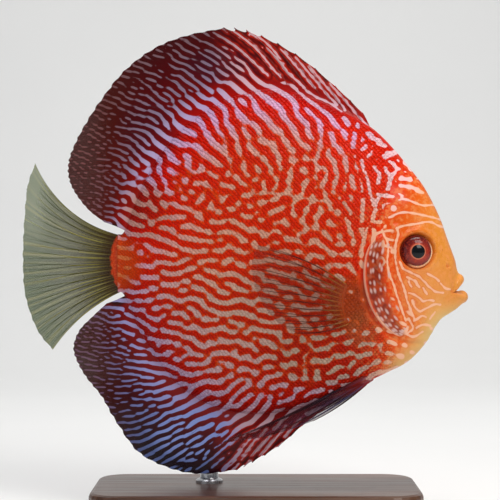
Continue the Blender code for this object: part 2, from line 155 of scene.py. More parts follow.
def curved(line: tuple, steps: int = 6) -> Array:
    """The smooth line through x and z in turn, in tenths of a millimetre, as short runs."""
    knots = np.reshape(line, (-1, 2)) / 10
    last = len(knots) - 1
    return spline(knots, np.linspace(0, last, last * steps + 1))


def distance_to(line: Array, x: Array, z: Array) -> Array:
    """How far points of the side plane are from a line of straight runs.

    Args:
        line: The line's points, x and z.
        x: The points' x.
        z: The points' z.

    Returns:
        The distance of each point.
    """
    nearest = np.full(np.shape(x), 1e9)
    for (ax, az), (bx, bz) in zip(line[:-1], line[1:]):
        dx, dz = bx - ax, bz - az
        t = np.clip(((x - ax) * dx + (z - az) * dz) / (dx * dx + dz * dz), 0, 1)
        nearest = np.minimum(nearest, np.hypot(x - ax - dx * t, z - az - dz * t))
    return nearest


def place(points: Array) -> Array:
    """Points of the fish's own frame, in millimetres, in the part's frame, in metres."""
    return (np.asarray(points, float) + (0, 0, MIDLINE_HEIGHT)) * MM


def read(items: bpy.types.bpy_prop_collection, field: str, width: int = 1) -> Array:
    """One field of every item: whole numbers, or rows of so many numbers."""
    flat = np.empty(len(items) * width, int if width == 1 else float)
    items.foreach_get(field, flat)
    return flat if width == 1 else flat.reshape(-1, width)


def own_frame(mesh: Mesh) -> Array:
    """A mesh's vertices in the fish's own frame, in millimetres."""
    return read(mesh.vertices, "co", 3) / MM - (0, 0, MIDLINE_HEIGHT)


def store(mesh: Mesh, name: str, values: Array, kind: str = "FLOAT") -> None:
    """Stores a number or a vector for each of a mesh's points, under a name."""
    kept = mesh.attributes.get(name) or mesh.attributes.new(name, kind, "POINT")
    field = "value" if kind == "FLOAT" else "vector"
    kept.data.foreach_set(field, np.asarray(values, np.float32).ravel())


def new_mesh(name: str, points: Array, edges: list = (), faces: list = ()) -> Mesh:
    """A mesh from points in metres, and edges or faces as tuples of their numbers."""
    mesh = bpy.data.meshes.new(name)
    mesh.from_pydata(np.asarray(points).tolist(), edges, faces)
    return mesh


def linked(name: str, data: bpy.types.ID) -> Object:
    """A new object of the scene."""
    made = bpy.data.objects.new(name, data)
    bpy.context.scene.collection.objects.link(made)
    return made


def make_piece(
    name: str, points: Array, faces: list, finish: Material,
    attributes: dict[str, Array] | None = None, sharp_angle: float = 50,
) -> Object:
    """An object of one mesh, its closed surfaces turned to face out.

    Args:
        name: The piece's name.
        points: Its vertices in the fish's own frame, in millimetres.
        faces: Its faces, as tuples of vertex numbers.
        finish: Its material.
        attributes: A number for each vertex, by attribute name.
        sharp_angle: The angle in degrees past which an edge is shaded sharp.

    Returns:
        The object, linked to the scene.
    """
    mesh = new_mesh(name, place(points), faces=faces)
    for attribute, values in (attributes or {}).items():
        store(mesh, attribute, values)
    shape = bmesh.new()
    shape.from_mesh(mesh)
    bmesh.ops.recalc_face_normals(shape, faces=shape.faces)
    if shape.calc_volume(signed=True) < 0:
        bmesh.ops.reverse_faces(shape, faces=shape.faces)
    shape.to_mesh(mesh)
    shape.free()
    mesh.shade_smooth()
    mesh.set_sharp_from_angle(angle=math.radians(sharp_angle))
    mesh.materials.append(finish)
    return linked(name, mesh)


def attach(piece: Object, slot: str, *nodes: str) -> None:
    """Rides a piece on the model, in place of any nodes that it stands for, and logs it.

    Args:
        piece: The piece.
        slot: Its slot; not used.
        nodes: The nodes' names.
    """
    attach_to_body(piece, "root")
    if nodes:
        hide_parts(*nodes)
    log.info("%s: %d faces", piece.name, len(piece.data.polygons))


def slab(near: Array, far: Array) -> tuple[Array, list]:
    """A closed sheet between two like grids of points.

    Args:
        near: The points of one face, columns by rows by 3.
        far: The points of the other face.

    Returns:
        The points and the faces.
    """
    number = np.arange(near[..., 0].size).reshape(near.shape[:2])
    quads = np.stack([number[:-1, :-1], number[1:, :-1], number[1:, 1:], number[:-1, 1:]], -1)
    front = quads.reshape(-1, 4)
    back = front[:, ::-1] + number.size
    rim = np.concatenate([number[:, 0], number[-1, 1:], number[-2::-1, -1], number[0, -2:0:-1]])
    after = np.roll(rim, -1)
    wall = np.stack([after, rim, rim + number.size, after + number.size], -1)
    points = np.concatenate([near.reshape(-1, 3), far.reshape(-1, 3)])
    return points, np.concatenate([front, back, wall]).tolist()


def tube(columns: int, count: int) -> list:
    """The faces of a row of rings, each end closed by a fan to one of two points more.

    Args:
        columns: How many rings there are.
        count: How many points a ring has.

    Returns:
        The faces, as rows of point numbers.
    """
    number = np.arange(columns * count).reshape(columns, count)
    ahead = np.roll(number, -1, 1)
    quads = np.stack([number[:-1], number[1:], ahead[1:], ahead[:-1]], -1).reshape(-1, 4)
    faces = quads.tolist()
    faces += [(int(a), int(b), number.size) for a, b in zip(number[0], ahead[0])]
    faces += [(int(b), int(a), number.size + 1) for a, b in zip(number[-1], ahead[-1])]
    return faces


@dataclass(frozen=True)
class BodyForm:
    """The body's shape, from rows for its stations between the tail root and the muzzle.

    Each row holds the top x and z, the bottom x and z, the half width, the half width of the
    strip that a fin stands on above and below, the fullness of the section, and how far the
    station bulges towards the head at half height.
    """

    stations: tuple = (
        (-48.7, 8, -48.7, -14.3, 2.6, 0.9, 0.9, 1, 0),
        (-46.4, 9, -46.4, -15.3, 3.5, 1.2, 1.2, 1, 0),
        (-42.6, 18.3, -42.6, -23.7, 5.4, 1.4, 1.4, 1.05, 0),
        (-37.6, 30.2, -37.2, -34.8, 7.6, 1.5, 1.5, 1.1, 0),
        (-30, 42, -28.8, -46.6, 10, 1.5, 1.5, 1.15, 0),
        (-18.9, 53.1, -16.6, -56.2, 12.5, 1.5, 1.5, 1.15, 0),
        (-5.2, 60.7, -1.3, -60.7, 14.5, 1.5, 1.5, 1.15, -0.4),
        (9.4, 63.8, 13.2, -60.2, 15.7, 1.5, 1.5, 1.12, -1.2),
        (23.9, 60.7, 26.5, -56.9, 16.3, 1.5, 1.5, 1.08, -2.8),
        (36.9, 55, 40.4, -51.4, 16.4, 1.4, 1.4, 1, -5.4),
        (49.1, 48.1, 53.6, -45.3, 15.8, 1.2, 1.2, 0.95, -8.6),
        (59.4, 37.4, 62, -40.8, 14.4, 1, 1, 0.92, -7),
        (68.2, 26, 69, -33.3, 12.2, 0.9, 0.9, 0.9, -3.8),
        (73.9, 14.9, 73.9, -25.4, 9.9, 0.8, 0.8, 0.88, -1.9),
        (77.7, 4.6, 77.7, -22.5, 7.8, 0.8, 0.8, 0.84, -0.8),
        (80.4, -3.4, 80.6, -20.6, 5.8, 0.8, 0.8, 0.78, 0),
    )
    leaner_back: float = 0.22
    coat_depth: float = 0.15
    edge_round: float = 0.35
    head_start: float = 10.0
    muzzle: float = 14.85
    lip_points: tuple = ((83.6, -8.0), (85.2, -16.4))

    def section(self, station: Array, height: Array) -> tuple:
        """A section of the skin, rounded where the solid has a flat strip.

        Args:
            station: Which station, 0 at the tail root.
            height: How high on the section, 0 at the lower edge and 1 at the upper.

        Returns:
            x, the half thickness and z.
        """
        row = spline(self.stations, station)
        top_x, top_z, low_x, low_z, width, top, low, fullness, bow = np.moveaxis(row, -1, 0)
        across = 2 * np.sqrt(np.clip(height * (1 - height), 0, None))
        edge = (low + (top - low) * height) * across**self.edge_round
        power = fullness + self.leaner_back * (height - 0.5)
        flesh = np.maximum(width - low - self.coat_depth, 0.1) * across**power
        x = low_x + (top_x - low_x) * height + bow * 4 * height * (1 - height)
        inset = self.coat_depth
        z = low_z + inset + (top_z - low_z - 2 * inset) * height
        return x, edge + flesh, z

    def edge_point(self, station: Array, edge: Edge) -> Array:
        """x and z of the solid's upper or lower edge."""
        row = spline(self.stations, station)
        return row[..., 0:2] if edge is Edge.UPPER else row[..., 2:4]

    def outline(self) -> Array:
        """The body's outline in the side plane, once round."""
        along = np.linspace(0, len(self.stations) - 1, 90)
        upper = self.edge_point(along, Edge.UPPER)
        lower = self.edge_point(along[::-1], Edge.LOWER)
        return np.concatenate([upper, np.array(self.lip_points), lower, upper[:1]])


@dataclass
class Markings:
    """The maze of pale marks, grown by a seeded rule on the side plane.

    Noise is filtered again and again to the local spacing and direction, which leaves worms,
    forks and dots. Each of the lies says how the marks run near one place: x, z, the angle in
    degrees, stretch, spacing, bareness and spread.
    Face lines and strokes are x and z in turn, in tenths of a millimetre, and each group of
    strokes starts with its half width. A gap region is an oval's middle and half sizes.
    """

    form: BodyForm
    extent: float = 93.0
    cells: int = 640
    directions: int = 8
    spacings: tuple = (2.0, 2.8, 3.9, 5.4)
    ring_width: float = 0.46
    rounds: int = 4
    gain: float = 2.1
    seeds: tuple = (11, 29)
    fin_bareness: float = 0.32
    fin_fineness: float = 0.32
    body_breaks: float = 0.1
    swell: float = 0.1
    steepness: float = 2.6
    line_half_width: float = 0.4
    line_swell: float = 0.42
    stroke_swell: float = 0.5
    stroke_clearing: tuple = (0.8, 1.9)
    gap_depth: float = 3.2
    gap_edge: tuple = (0.6, 1.4)
    gap_regions: tuple = ((8, 21, 36, 23), (-38, -30, 9, 9), (30, -36, 20, 12))
    shared_rim: tuple = (2.0, 14.0)
    slide: float = 1.9
    lies: tuple = (
        (-36.5, -2.7, 0, 0.5, 4.2, 0.22, 10), (-46.5, -2.7, 0, 0.3, 4, 1, 6),
        (-21.2, 21, -5, 0.35, 4.3, 0.2, 10), (-21.2, -17.2, -3, 0.45, 4.2, 0.2, 10),
        (-32.7, 15.3, -25, 0.45, 4.2, 0.15, 10), (-2.1, 1.9, 0, 0.42, 4.2, 0.15, 10),
        (-2.1, 21, 5, 0.22, 4.4, 0.18, 10), (-2.1, -21, -8, 0.4, 4.3, 0.15, 10),
        (-17.4, -34.4, -12, 0.35, 4.3, 0.15, 10), (9.4, -40.1, -10, 0.2, 4.4, 0.15, 10),
        (24.6, 28.7, 60, 0.2, 4.5, 0.2, 10), (24.6, 5.7, -10, 0.25, 4.6, 0.2, 10),
        (20.8, -21, -5, 0.35, 4.3, 0.15, 10), (36.5, -19.5, 0, 0.3, 4.2, 1.3, 5.5),
        (39.9, 21, 88, 0.6, 4.3, 0.14, 10), (38, 40.1, -75, 0.6, 4.5, 0.08, 8),
        (32.3, -38.3, 10, 0.2, 4.2, 0.15, 10), (47.6, -41.9, 30, 0.3, 4, 0.25, 8),
        (17, 47.8, -58, 0.7, 5, 0.12, 10), (-2.1, 52.4, -52, 0.75, 5.2, 0.1, 10),
        (1.7, 42, -50, 0.5, 4.9, 0.14, 8), (-21.2, 49.7, -42, 0.65, 5.4, 0.08, 10),
        (-32.7, 32.5, -42, 0.6, 5.2, 0.1, 10), (-40.3, 22.9, -45, 0.5, 4.5, 0.2, 8),
        (31, 61, -39, 0.97, 4, 0.85, 7), (18, 71, -37, 0.97, 4.1, 0.85, 7.5),
        (7.4, 79.3, -34, 0.97, 4, 0.8, 7), (-9.7, 72.5, -32, 0.85, 3.8, 0.58, 11),
        (-28.8, 62, -26, 0.85, 3.8, 0.58, 11), (-44.1, 51.6, -24, 0.75, 3.5, 0.5, 11),
        (-55.6, 40.1, -22, 0.55, 3.1, 0.58, 10), (-59.4, 24.8, -20, 0.45, 2.9, 0.75, 10),
        (-49.9, 15.3, -25, 0.45, 2.9, 0.6, 6), (-36.5, -55.4, 8, 0.74, 3.7, 0.48, 10),
        (-51.8, -43.9, -10, 0.86, 3, 0.62, 10), (-57.5, -32.5, -16, 0.84, 2.8, 0.72, 8),
        (-44.1, -28.7, -18, 0.5, 3.4, 0.32, 8), (-28.8, -70.7, 24, 0.88, 4.5, 0.26, 10),
        (-13.6, -70.7, 30, 0.88, 4.8, 0.2, 10), (-17.4, -55.4, 28, 0.55, 4.5, 0.14, 8),
        (1.7, -54.4, 50, 0.45, 4.4, 0.14, 8), (1.7, -70.7, 44, 0.95, 4.2, 0.6, 8),
        (19, -64, 40, 0.97, 4.1, 0.8, 8), (55, 31, -30, 0.5, 4.5, 0.16, 6),
        (53.5, 39, -55, 0.45, 3.8, 0.34, 5), (68, 20, -5, 0.7, 4.8, 1.3, 9),
        (49.4, 18, 85, 0.6, 4.4, 0.16, 6), (58, 16, 0, 0.6, 4.5, 1.1, 5),
        (50.5, 3, 88, 0.6, 4.2, 0.4, 6), (66, -14, -35, 0.8, 4.4, 0.95, 12),
        (72, -2, -40, 0.6, 4.4, 1.4, 11), (60, -32, -20, 0.5, 4.2, 0.7, 8),
    )
    face_lines: tuple = (
        (-10, 219, 64, 229, 132, 229, 208, 214, 285, 202, 327, 190),
        (506, 306, 550, 318, 584, 310, 634, 290, 660, 292),
        (533, 248, 590, 266, 659, 239, 696, 244), (529, 193, 598, 210, 667, 187, 724, 192),
        (537, 141, 598, 161, 686, 146, 744, 134),
        (564, 102, 599, 110, 672, 123, 701, 123, 729, 112, 752, 105),
        (564, 102, 572, 80, 563, 48, 560, 10, 563, -31, 572, -69, 587, -107, 599, -141, 606, -170,
         617, -199, 636, -244),
        (576, -24, 593, -53, 622, -66, 656, -85, 685, -114, 713, -136, 745, -142),
        (682, -69, 701, -78, 729, -97), (612, -100, 623, -120), (666, -123, 683, -148),
        (612, -142, 637, -150, 653, -161, 667, -173, 691, -170, 710, -173),
        (625, -170, 637, -196, 656, -212, 682, -199, 716, -186, 735, -188), (697, -240, 716, -215),
        (644, -274, 670, -262, 700, -266), (600, -295, 612, -271), (596, 356, 630, 330),
        (530, 406, 566, 370, 574, 340),
        (529, 60, 534, 20, 529, -24, 536, -66, 553, -108, 568, -154, 586, -204, 602, -246),
        (495, -230, 514, -253, 546, -281, 571, -298, 588, -296, 610, -271),
        (494, -16, 508, -10, 519, -22, 514, -36, 499, -39, 492, -28, 494, -16),
        (474, 160, 456, 110, 442, 40), (604, -82, 630, -94, 644, -112),
        (632, -248, 664, -230, 680, -234), (736, -108, 756, -126, 774, -130),
        (576, 376, 604, 348, 636, 336), (486, 436, 512, 400, 520, 366), (635, -94, 653, -121),
        (612, -238, 630, -274, 607, -296), (587, -283, 630, -308, 668, -290),
        (511, 96, 523, 65, 552, 56), (476, 65, 503, 86, 552, 92), (480, 27, 506, 37, 544, 27),
        (552, 218, 575, 229, 592, 224),
    )
    strokes: tuple = (
        (0.42, (-120, 848, -74, 821, -29, 791, 10, 756, 48, 722, 86, 684),
         (-44, 852, 2, 821, 40, 791, 71, 753, 101, 714, 136, 680),
         (17, 844, 55, 829, 86, 806, 113, 775, 136, 737, 162, 699, 197, 665, 227, 638),
         (86, 787, 117, 753, 143, 718, 170, 684),
         (136, 787, 159, 764, 181, 737, 208, 707, 231, 676, 265, 638),
         (193, 753, 220, 722, 246, 691, 273, 661, 296, 630, 323, 600, 350, 573),
         (239, 722, 273, 684, 300, 653, 327, 623, 353, 592, 380, 554),
         (323, 653, 365, 607, 388, 581, 411, 554, 437, 523, 468, 493),
         (220, 638, 250, 615, 285, 596, 327, 577, 365, 546), (212, -623, 181, -657, 151, -695),
         (155, -653, 124, -691, 94, -722, 59, -764), (94, -691, 55, -733, 25, -764),
         (82, -665, 40, -707, 10, -745, -17, -779), (17, -699, -21, -745, -52, -783, -86, -817),
         (-29, -699, -90, -745, -136, -783, -185, -817), (-13, -749, -55, -795, -90, -825),
         (-139, -749, -162, -779), (-86, -772, -128, -810)),
        (0.92, (413, 458, 403, 405)),
        (1.1, (464, 458, 523, 416), (525, 371, 569, 392)),
        (0.67, (544, 355, 579, 325), (460, 365, 477, 390)),
        (0.77, (437, 396, 453, 409), (528, 325, 544, 287, 534, 250),
         (586, 260, 628, 254, 670, 237), (489, 172, 476, 128, 503, 125), (437, 210, 437, 126),
         (552, 455, 575, 432)),
        (0.64, (434, 355, 460, 271, 479, 187, 503, 219), (544, 287, 575, 325)),
        (0.72, (485, 332, 502, 302, 495, 270), (499, 225, 552, 218), (369, 195, 393, 155),
         (605, 354, 628, 325)),
        (0.82, (586, 290, 625, 287)),
        (0.97, (399, 294, 404, 247)),
    )

    def __post_init__(self) -> None:
        """Grows both flanks' marks and measures how far every place is from the body's edge."""
        self.step = 2 * self.extent / self.cells
        axis = (np.arange(self.cells) + 0.5) * self.step - self.extent
        self.x, self.z = np.meshgrid(axis, axis, indexing="ij")
        self.uneven = np.sin(0.9 * self.x + 1.3 * self.z)
        self.uneven *= np.sin(1.7 * self.z - 0.7 * self.x + 0.5)
        self._measure_outward()
        self._blend_lies()
        self._make_filters()
        near = np.min([self._off(line, 6) for line in self.face_lines], axis=0)
        lines = (self.line_half_width * (1 + self.line_swell * self.uneven) - near) * self.steepness
        self.right, self.left = (
            self._stroke(np.maximum(self._grow(seed), lines)) for seed in self.seeds
        )
        log.info("markings: grown on %d cells", self.x.size)

    def _off(self, line: tuple, steps: int) -> Array:
        """How far each cell is from a smooth line."""
        return distance_to(curved(line, steps), self.x, self.z)

    def _blend_lies(self) -> None:
        """Blends the local lies into smooth maps of direction, stretch, spacing and bareness."""
        x, z, angle, stretch, spacing, bareness, spread = np.array(self.lies, float).T
        weights = np.array([
            np.exp(-((self.x - a) ** 2 + (self.z - b) ** 2) / (2 * wide**2)) + 1e-9
            for a, b, wide in zip(x, z, spread)
        ])
        weights /= weights.sum(0)
        double = 2 * np.radians(angle)
        along = np.tensordot(stretch * np.cos(double), weights, 1)
        across = np.tensordot(stretch * np.sin(double), weights, 1)
        self.stretch = np.hypot(along, across)
        self.angle = np.arctan2(across, along) / 2
        self.spacing = np.tensordot(spacing, weights, 1)
        self.bareness = np.tensordot(bareness, weights, 1)
        outward = self.look_up(self.outward, self.x, self.z)
        self.bareness += self.fin_bareness * rise(outward, 3, 20)
        self.spacing *= 1 - self.fin_fineness * rise(outward, 0, 11)
        self.bareness += self.body_breaks * rise(-outward, 2, 9)

    def _make_filters(self) -> None:
        """Makes a band-pass filter for each spacing and direction, and each one's weight map."""
        k_x, k_z = np.meshgrid(
            np.fft.fftfreq(self.cells, self.step), np.fft.rfftfreq(self.cells, self.step),
            indexing="ij",
        )
        wave = np.maximum(np.hypot(k_x, k_z), 1e-9)
        heading = np.arctan2(k_z, k_x)
        turns = [math.pi * i / self.directions for i in range(self.directions)]
        share = np.array([np.abs(np.cos(self.angle + math.pi / 2 - turn)) ** 8 for turn in turns])
        share *= self.stretch / share.sum(0)
        known = np.log(self.spacings)
        self.filters = []
        for number, spacing in enumerate(self.spacings):
            fits = np.interp(np.log(self.spacing), known, np.eye(len(known))[number])
            ring = bell(np.log(wave * spacing), self.ring_width)
            self.filters.append((ring, fits * (1 - self.stretch)))
            for turn, part in zip(turns, share):
                lobe = 1.8 * np.abs(np.cos(heading - turn)) ** 5
                self.filters.append((ring * lobe, fits * part))
        self.coarse_band = ring

    def _grow(self, seed: int) -> Array:
        """Grows one flank's marks.

        Args:
            seed: The seed of the noise that they grow from.

        Returns:
            The field, above 0 on a mark.
        """
        field = np.random.default_rng(seed).standard_normal(self.x.shape)
        for _ in range(self.rounds):
            waves = np.fft.rfft2(field)
            grown = np.zeros_like(field)
            for band, weight in self.filters:
                grown += weight * np.fft.irfft2(waves * band, s=field.shape)
            grown /= grown.std()
            field = np.tanh(self.gain * (grown - self.bareness))
        waves = np.fft.rfft2(np.random.default_rng(seed + 1).standard_normal(self.x.shape))
        chips = np.fft.irfft2(waves * self.coarse_band, s=field.shape)
        gaps = self.gap_depth * rise(chips / chips.std(), *self.gap_edge)
        near = np.max([
            np.exp(-(((self.x - x) / across) ** 2) - ((self.z - z) / up) ** 2)
            for x, z, across, up in self.gap_regions
        ], axis=0)
        return grown - self.bareness + self.swell - gaps * near

    def _stroke(self, field: Array) -> Array:
        """Puts the marks of nape and spiny fins in a field, in place of what grew round them.

        Args:
            field: The field, above 0 on a mark.

        Returns:
            The new field.
        """
        uneven = 1 + self.stroke_swell * self.uneven
        near = np.min([
            self._off(line, 3) - half_width * uneven
            for half_width, *lines in self.strokes for line in lines
        ], axis=0)
        return field + (-self.steepness * near - field) * (1 - rise(near, *self.stroke_clearing))

    def _measure_outward(self) -> None:
        """Measures how far out of the body's outline each place is, less than 0 inside it."""
        outline = self.form.outline()
        coarse = slice(None, None, 4)
        x, z = self.x[coarse, coarse], self.z[coarse, coarse]
        far = distance_to(outline, x, z)
        inside = np.zeros(x.shape, bool)
        for (ax, az), (bx, bz) in zip(outline[:-1], outline[1:]):
            spans = (az > z) != (bz > z)
            slope = (bx - ax) / (bz - az) if bz != az else 0.0
            inside ^= spans & (x < ax + (z - az) * slope)
        self.outward = np.where(inside, -far, far)

    def look_up(self, chart: Array, x: Array, z: Array) -> Array:
        """A chart's values at points of the side plane.

        Args:
            chart: The values on a grid over the whole plane.
            x: The points' x.
            z: The points' z.

        Returns:
            The value at each point, blended between the grid's cells.
        """
        count = chart.shape[0]
        step = self.step * (self.cells / count)
        origin = self.step / 2 - self.extent
        u = np.clip((x - origin) / step, 0, count - 1.001)
        v = np.clip((z - origin) / step, 0, count - 1.001)
        i, j = u.astype(int), v.astype(int)
        f, g = u - i, v - j
        low = chart[i, j] * (1 - f) + chart[i + 1, j] * f
        high = chart[i, j + 1] * (1 - f) + chart[i + 1, j + 1] * f
        return low * (1 - g) + high * g

    def values(self, points: Array, left: Array) -> tuple:
        """The marks at points of the fish.

        Args:
            points: The points, in the fish's own frame.
            left: 1 where a point is on the left flank, 0 on the right.

        Returns:
            The field of the marks, and how far out of the body's outline each point is.
        """
        x, y, z = points.T
        outward = self.look_up(self.outward, x, z)
        own = left * rise(-outward, *self.shared_rim)
        off = np.abs(y) * left
        right = self.look_up(self.right, x + self.slide * off * np.exp(-off / 5.0), z)
        return right + (self.look_up(self.left, x, z) - right) * own, outward

    def paint(self, piece: Object) -> None:
        """Stores the marks on a piece's vertices, as the attributes its finish reads."""
        left = (read(piece.data.vertices, "normal", 3)[:, 1] > 0).astype(float)
        for name, values in zip(("marking", "outward"), self.values(own_frame(piece.data), left)):
            store(piece.data, name, values)


class Tree:
    """A node tree that is built node by node."""

    def __init__(self, tree: bpy.types.NodeTree) -> None:
        """Keeps the tree."""
        self.tree = tree

    def put(self, socket: Socket, value: object) -> None:
        """Links a node's input to another's output, or sets it.

        Args:
            socket: The input.
            value: A socket, a wire or a plain value.
        """
        value = getattr(value, "socket", value)
        if isinstance(value, Socket):
            self.tree.links.new(value, socket)
        else:
            socket.default_value = (*value, 1.0) if socket.type == "RGBA" else value

    def add(self, kind: str, inputs: dict, **settings: object) -> bpy.types.bpy_prop_collection:
        """Adds a node.

        Args:
            kind: The node's type.
            inputs: What to link or to set, by the input's name or number.
            settings: The node's own settings.

        Returns:
            The node's outputs.
        """
        node = self.tree.nodes.new(kind)
        for name, value in settings.items():
            setattr(node, name, value)
        for name, value in inputs.items():
            self.put(node.inputs[name], value)
        return node.outputs


class Grower(Tree):
    """A Geometry Nodes tree that grows a piece from a plain mesh."""

    def __init__(self, name: str, **inputs: str) -> None:
        """Starts the tree, with inputs for the mesh and the finish.

        Args:
            name: The tree's name.
            inputs: The types of its other inputs, by name.
        """
        super().__init__(bpy.data.node_groups.new(name, "GeometryNodeTree"))
        face = self.tree.interface
        for item, kind in {"Source": "Geometry", **inputs, "Finish": "Material"}.items():
            face.new_socket(item, in_out="INPUT", socket_type="NodeSocket" + kind)
        face.new_socket("Result", in_out="OUTPUT", socket_type="NodeSocketGeometry")
        self.given = self.add("NodeGroupInput", {})

    def stored(self, name: str, kind: str = "FLOAT") -> Socket:
        """An attribute of the mesh."""
        node = self.add("GeometryNodeInputNamedAttribute", {"Name": name}, data_type=kind)
        return node["Attribute"]

    def end(self, geometry: Socket) -> None:
        """Ends the tree with its geometry in the given finish."""
        inputs = {"Geometry": geometry, "Material": self.given["Finish"]}
        self.add("NodeGroupOutput", {"Result": self.add("GeometryNodeSetMaterial", inputs)[0]})

    def grow(self, name: str, bed: Mesh, **values: object) -> Object:
        """Runs the tree.

        Args:
            name: The piece's name.
            bed: The mesh that it grows from.
            values: The tree's other inputs.

        Returns:
            The piece, a plain mesh.
        """
        source = linked(name + "_bed", bed)
        modifier = source.modifiers.new("grown", "NODES")
        modifier.node_group = self.tree
        for item in self.tree.interface.items_tree:
            if item.name in values:
                modifier[item.identifier] = values[item.name]
        graph = bpy.context.evaluated_depsgraph_get()
        mesh = bpy.data.meshes.new_from_object(source.evaluated_get(graph))
        bpy.data.objects.remove(source)
        return linked(name, mesh)


class Wire:
    """A number or a colour inside a material, whose arithmetic adds nodes."""

    def __init__(self, weave: "Weave", socket: Socket) -> None:
        """Keeps the material that it belongs to and the socket that gives it."""
        self.weave, self.socket = weave, socket

    def __add__(self, other: object) -> "Wire":
        """The sum of two numbers."""
        return self.weave.math("ADD", self, other)

    def __sub__(self, other: object) -> "Wire":
        """One number less another."""
        return self.weave.math("SUBTRACT", self, other)

    def __mul__(self, other: object) -> "Wire":
        """The product of two numbers."""
        return self.weave.math("MULTIPLY", self, other)

    def larger(self, other: object) -> "Wire":
        """The larger of two numbers."""
        return self.weave.math("MAXIMUM", self, other)

    def step(self, low: float, high: float, start: float = 0.0, end: float = 1.0) -> "Wire":
        """A smooth step.

        Args:
            low: Where it starts, which may be the larger.
            high: Where it ends.
            start: What it gives at low.
            end: What it gives at high.

        Returns:
            The step's own number.
        """
        if low > high:
            low, high, start, end = high, low, end, start
        inputs = {"Value": self, "From Min": low, "From Max": high, "To Min": start, "To Max": end}
        return self.weave.wire("ShaderNodeMapRange", inputs, interpolation_type="SMOOTHSTEP")

    def ramp(self, rows: tuple) -> "Wire":
        """A colour that runs through a ramp's stops.

        Args:
            rows: The stops, each a value and its colour.

        Returns:
            The colour.
        """
        low, high = rows[0][0], rows[-1][0]
        inputs = {"Value": self, "From Min": low, "From Max": high}
        part = self.weave.wire("ShaderNodeMapRange", inputs)
        node = self.weave.tree.nodes.new("ShaderNodeValToRGB")
        self.weave.put(node.inputs[0], part)
        elements = node.color_ramp.elements
        while len(elements) < len(rows):
            elements.new(0.5)
        for element, (at, colour) in zip(elements, rows):
            element.position = (at - low) / (high - low)
            element.color = (*colour, 1.0)
        return Wire(self.weave, node.outputs["Color"])


class Weave(Tree):
    """Builds one material's nodes."""

    def __init__(self, name: str) -> None:
        """Starts a material with one shader."""
        self.material = bpy.data.materials.new(name)
        self.material.use_nodes = True
        super().__init__(self.material.node_tree)

    def wire(self, kind: str, inputs: dict, output: int | str = 0, **settings: object) -> Wire:
        """Adds a node and gives one of its outputs."""
        return Wire(self, self.add(kind, inputs, **settings)[output])

    def finish(
        self, colour: Wire, rough: object, shine: float = 0.5, coat: tuple = (0, 0.03),
        **more: object,
    ) -> Material:
        """Sets the shader's inputs.

        Args:
            colour: The base colour.
            rough: The roughness.
            shine: The level of its own gloss.
            coat: The weight and the roughness of a clear coat.
            more: Other inputs by name.

        Returns:
            The material.
        """
        inputs = {"Base Color": colour, "Roughness": rough, "Specular IOR Level": shine, **more}
        inputs["Coat Weight"], inputs["Coat Roughness"] = coat
        for name, value in inputs.items():
            self.put(self.tree.nodes["Principled BSDF"].inputs[name], value)
        return self.material

    def attribute(self, name: str) -> Wire:
        """A number stored on the mesh."""
        return self.wire("ShaderNodeAttribute", {}, "Fac", attribute_name=name)

    def place(self, stretch: tuple | None = None) -> Wire:
        """The object's own coordinates in metres, scaled along each axis if need be."""
        own = self.wire("ShaderNodeTexCoord", {}, "Object")
        return self.wire("ShaderNodeMapping", {"Vector": own, "Scale": stretch}) if stretch else own

    def axes(self) -> tuple[Wire, Wire]:
        """x and z in the fish's own side plane, in millimetres."""
        own = self.add("ShaderNodeSeparateXYZ", {0: self.place()})
        return Wire(self, own[0]) * (1 / MM), Wire(self, own[2]) * (1 / MM) - MIDLINE_HEIGHT

    def math(self, operation: str, first: object, second: object = 0.0) -> Wire:
        """One step of arithmetic."""
        return self.wire("ShaderNodeMath", {0: first, 1: second}, operation=operation)

    def mix(self, share: object, first: object, second: object, kind: str = "MIX") -> Wire:
        """A blend of two colours."""
        inputs = {0: share, 6: first, 7: second}
        return self.wire("ShaderNodeMix", inputs, 2, data_type="RGBA", blend_type=kind)

    def shade(self, colour: object, by: object) -> Wire:
        """A colour darkened by another."""
        return self.mix(1.0, colour, by, "MULTIPLY")

    def noise(self, scale: float, detail: float = 2.0, stretch: tuple | None = None) -> Wire:
        """Soft noise, with its scale in cells for each metre."""
        inputs = {"Vector": self.place(stretch), "Scale": scale, "Detail": detail}
        return self.wire("ShaderNodeTexNoise", inputs)

    def bump(self, height: Wire, depth: float, strength: float = 1.0) -> Wire:
        """A bump from a height, with its full depth in millimetres."""
        inputs = {"Height": height, "Distance": depth * MM, "Strength": strength}
        return self.wire("ShaderNodeBump", inputs)


def oval(at: tuple[Wire, Wire], x: float, z: float, across: float, up: float) -> Wire:
    """A soft oval on the side plane, 1 in its middle, from its middle and half sizes."""
    u, v = (at[0] - x) * (1 / across), (at[1] - z) * (1 / up)
    return (u * u + v * v).step(1.6, 0.25)


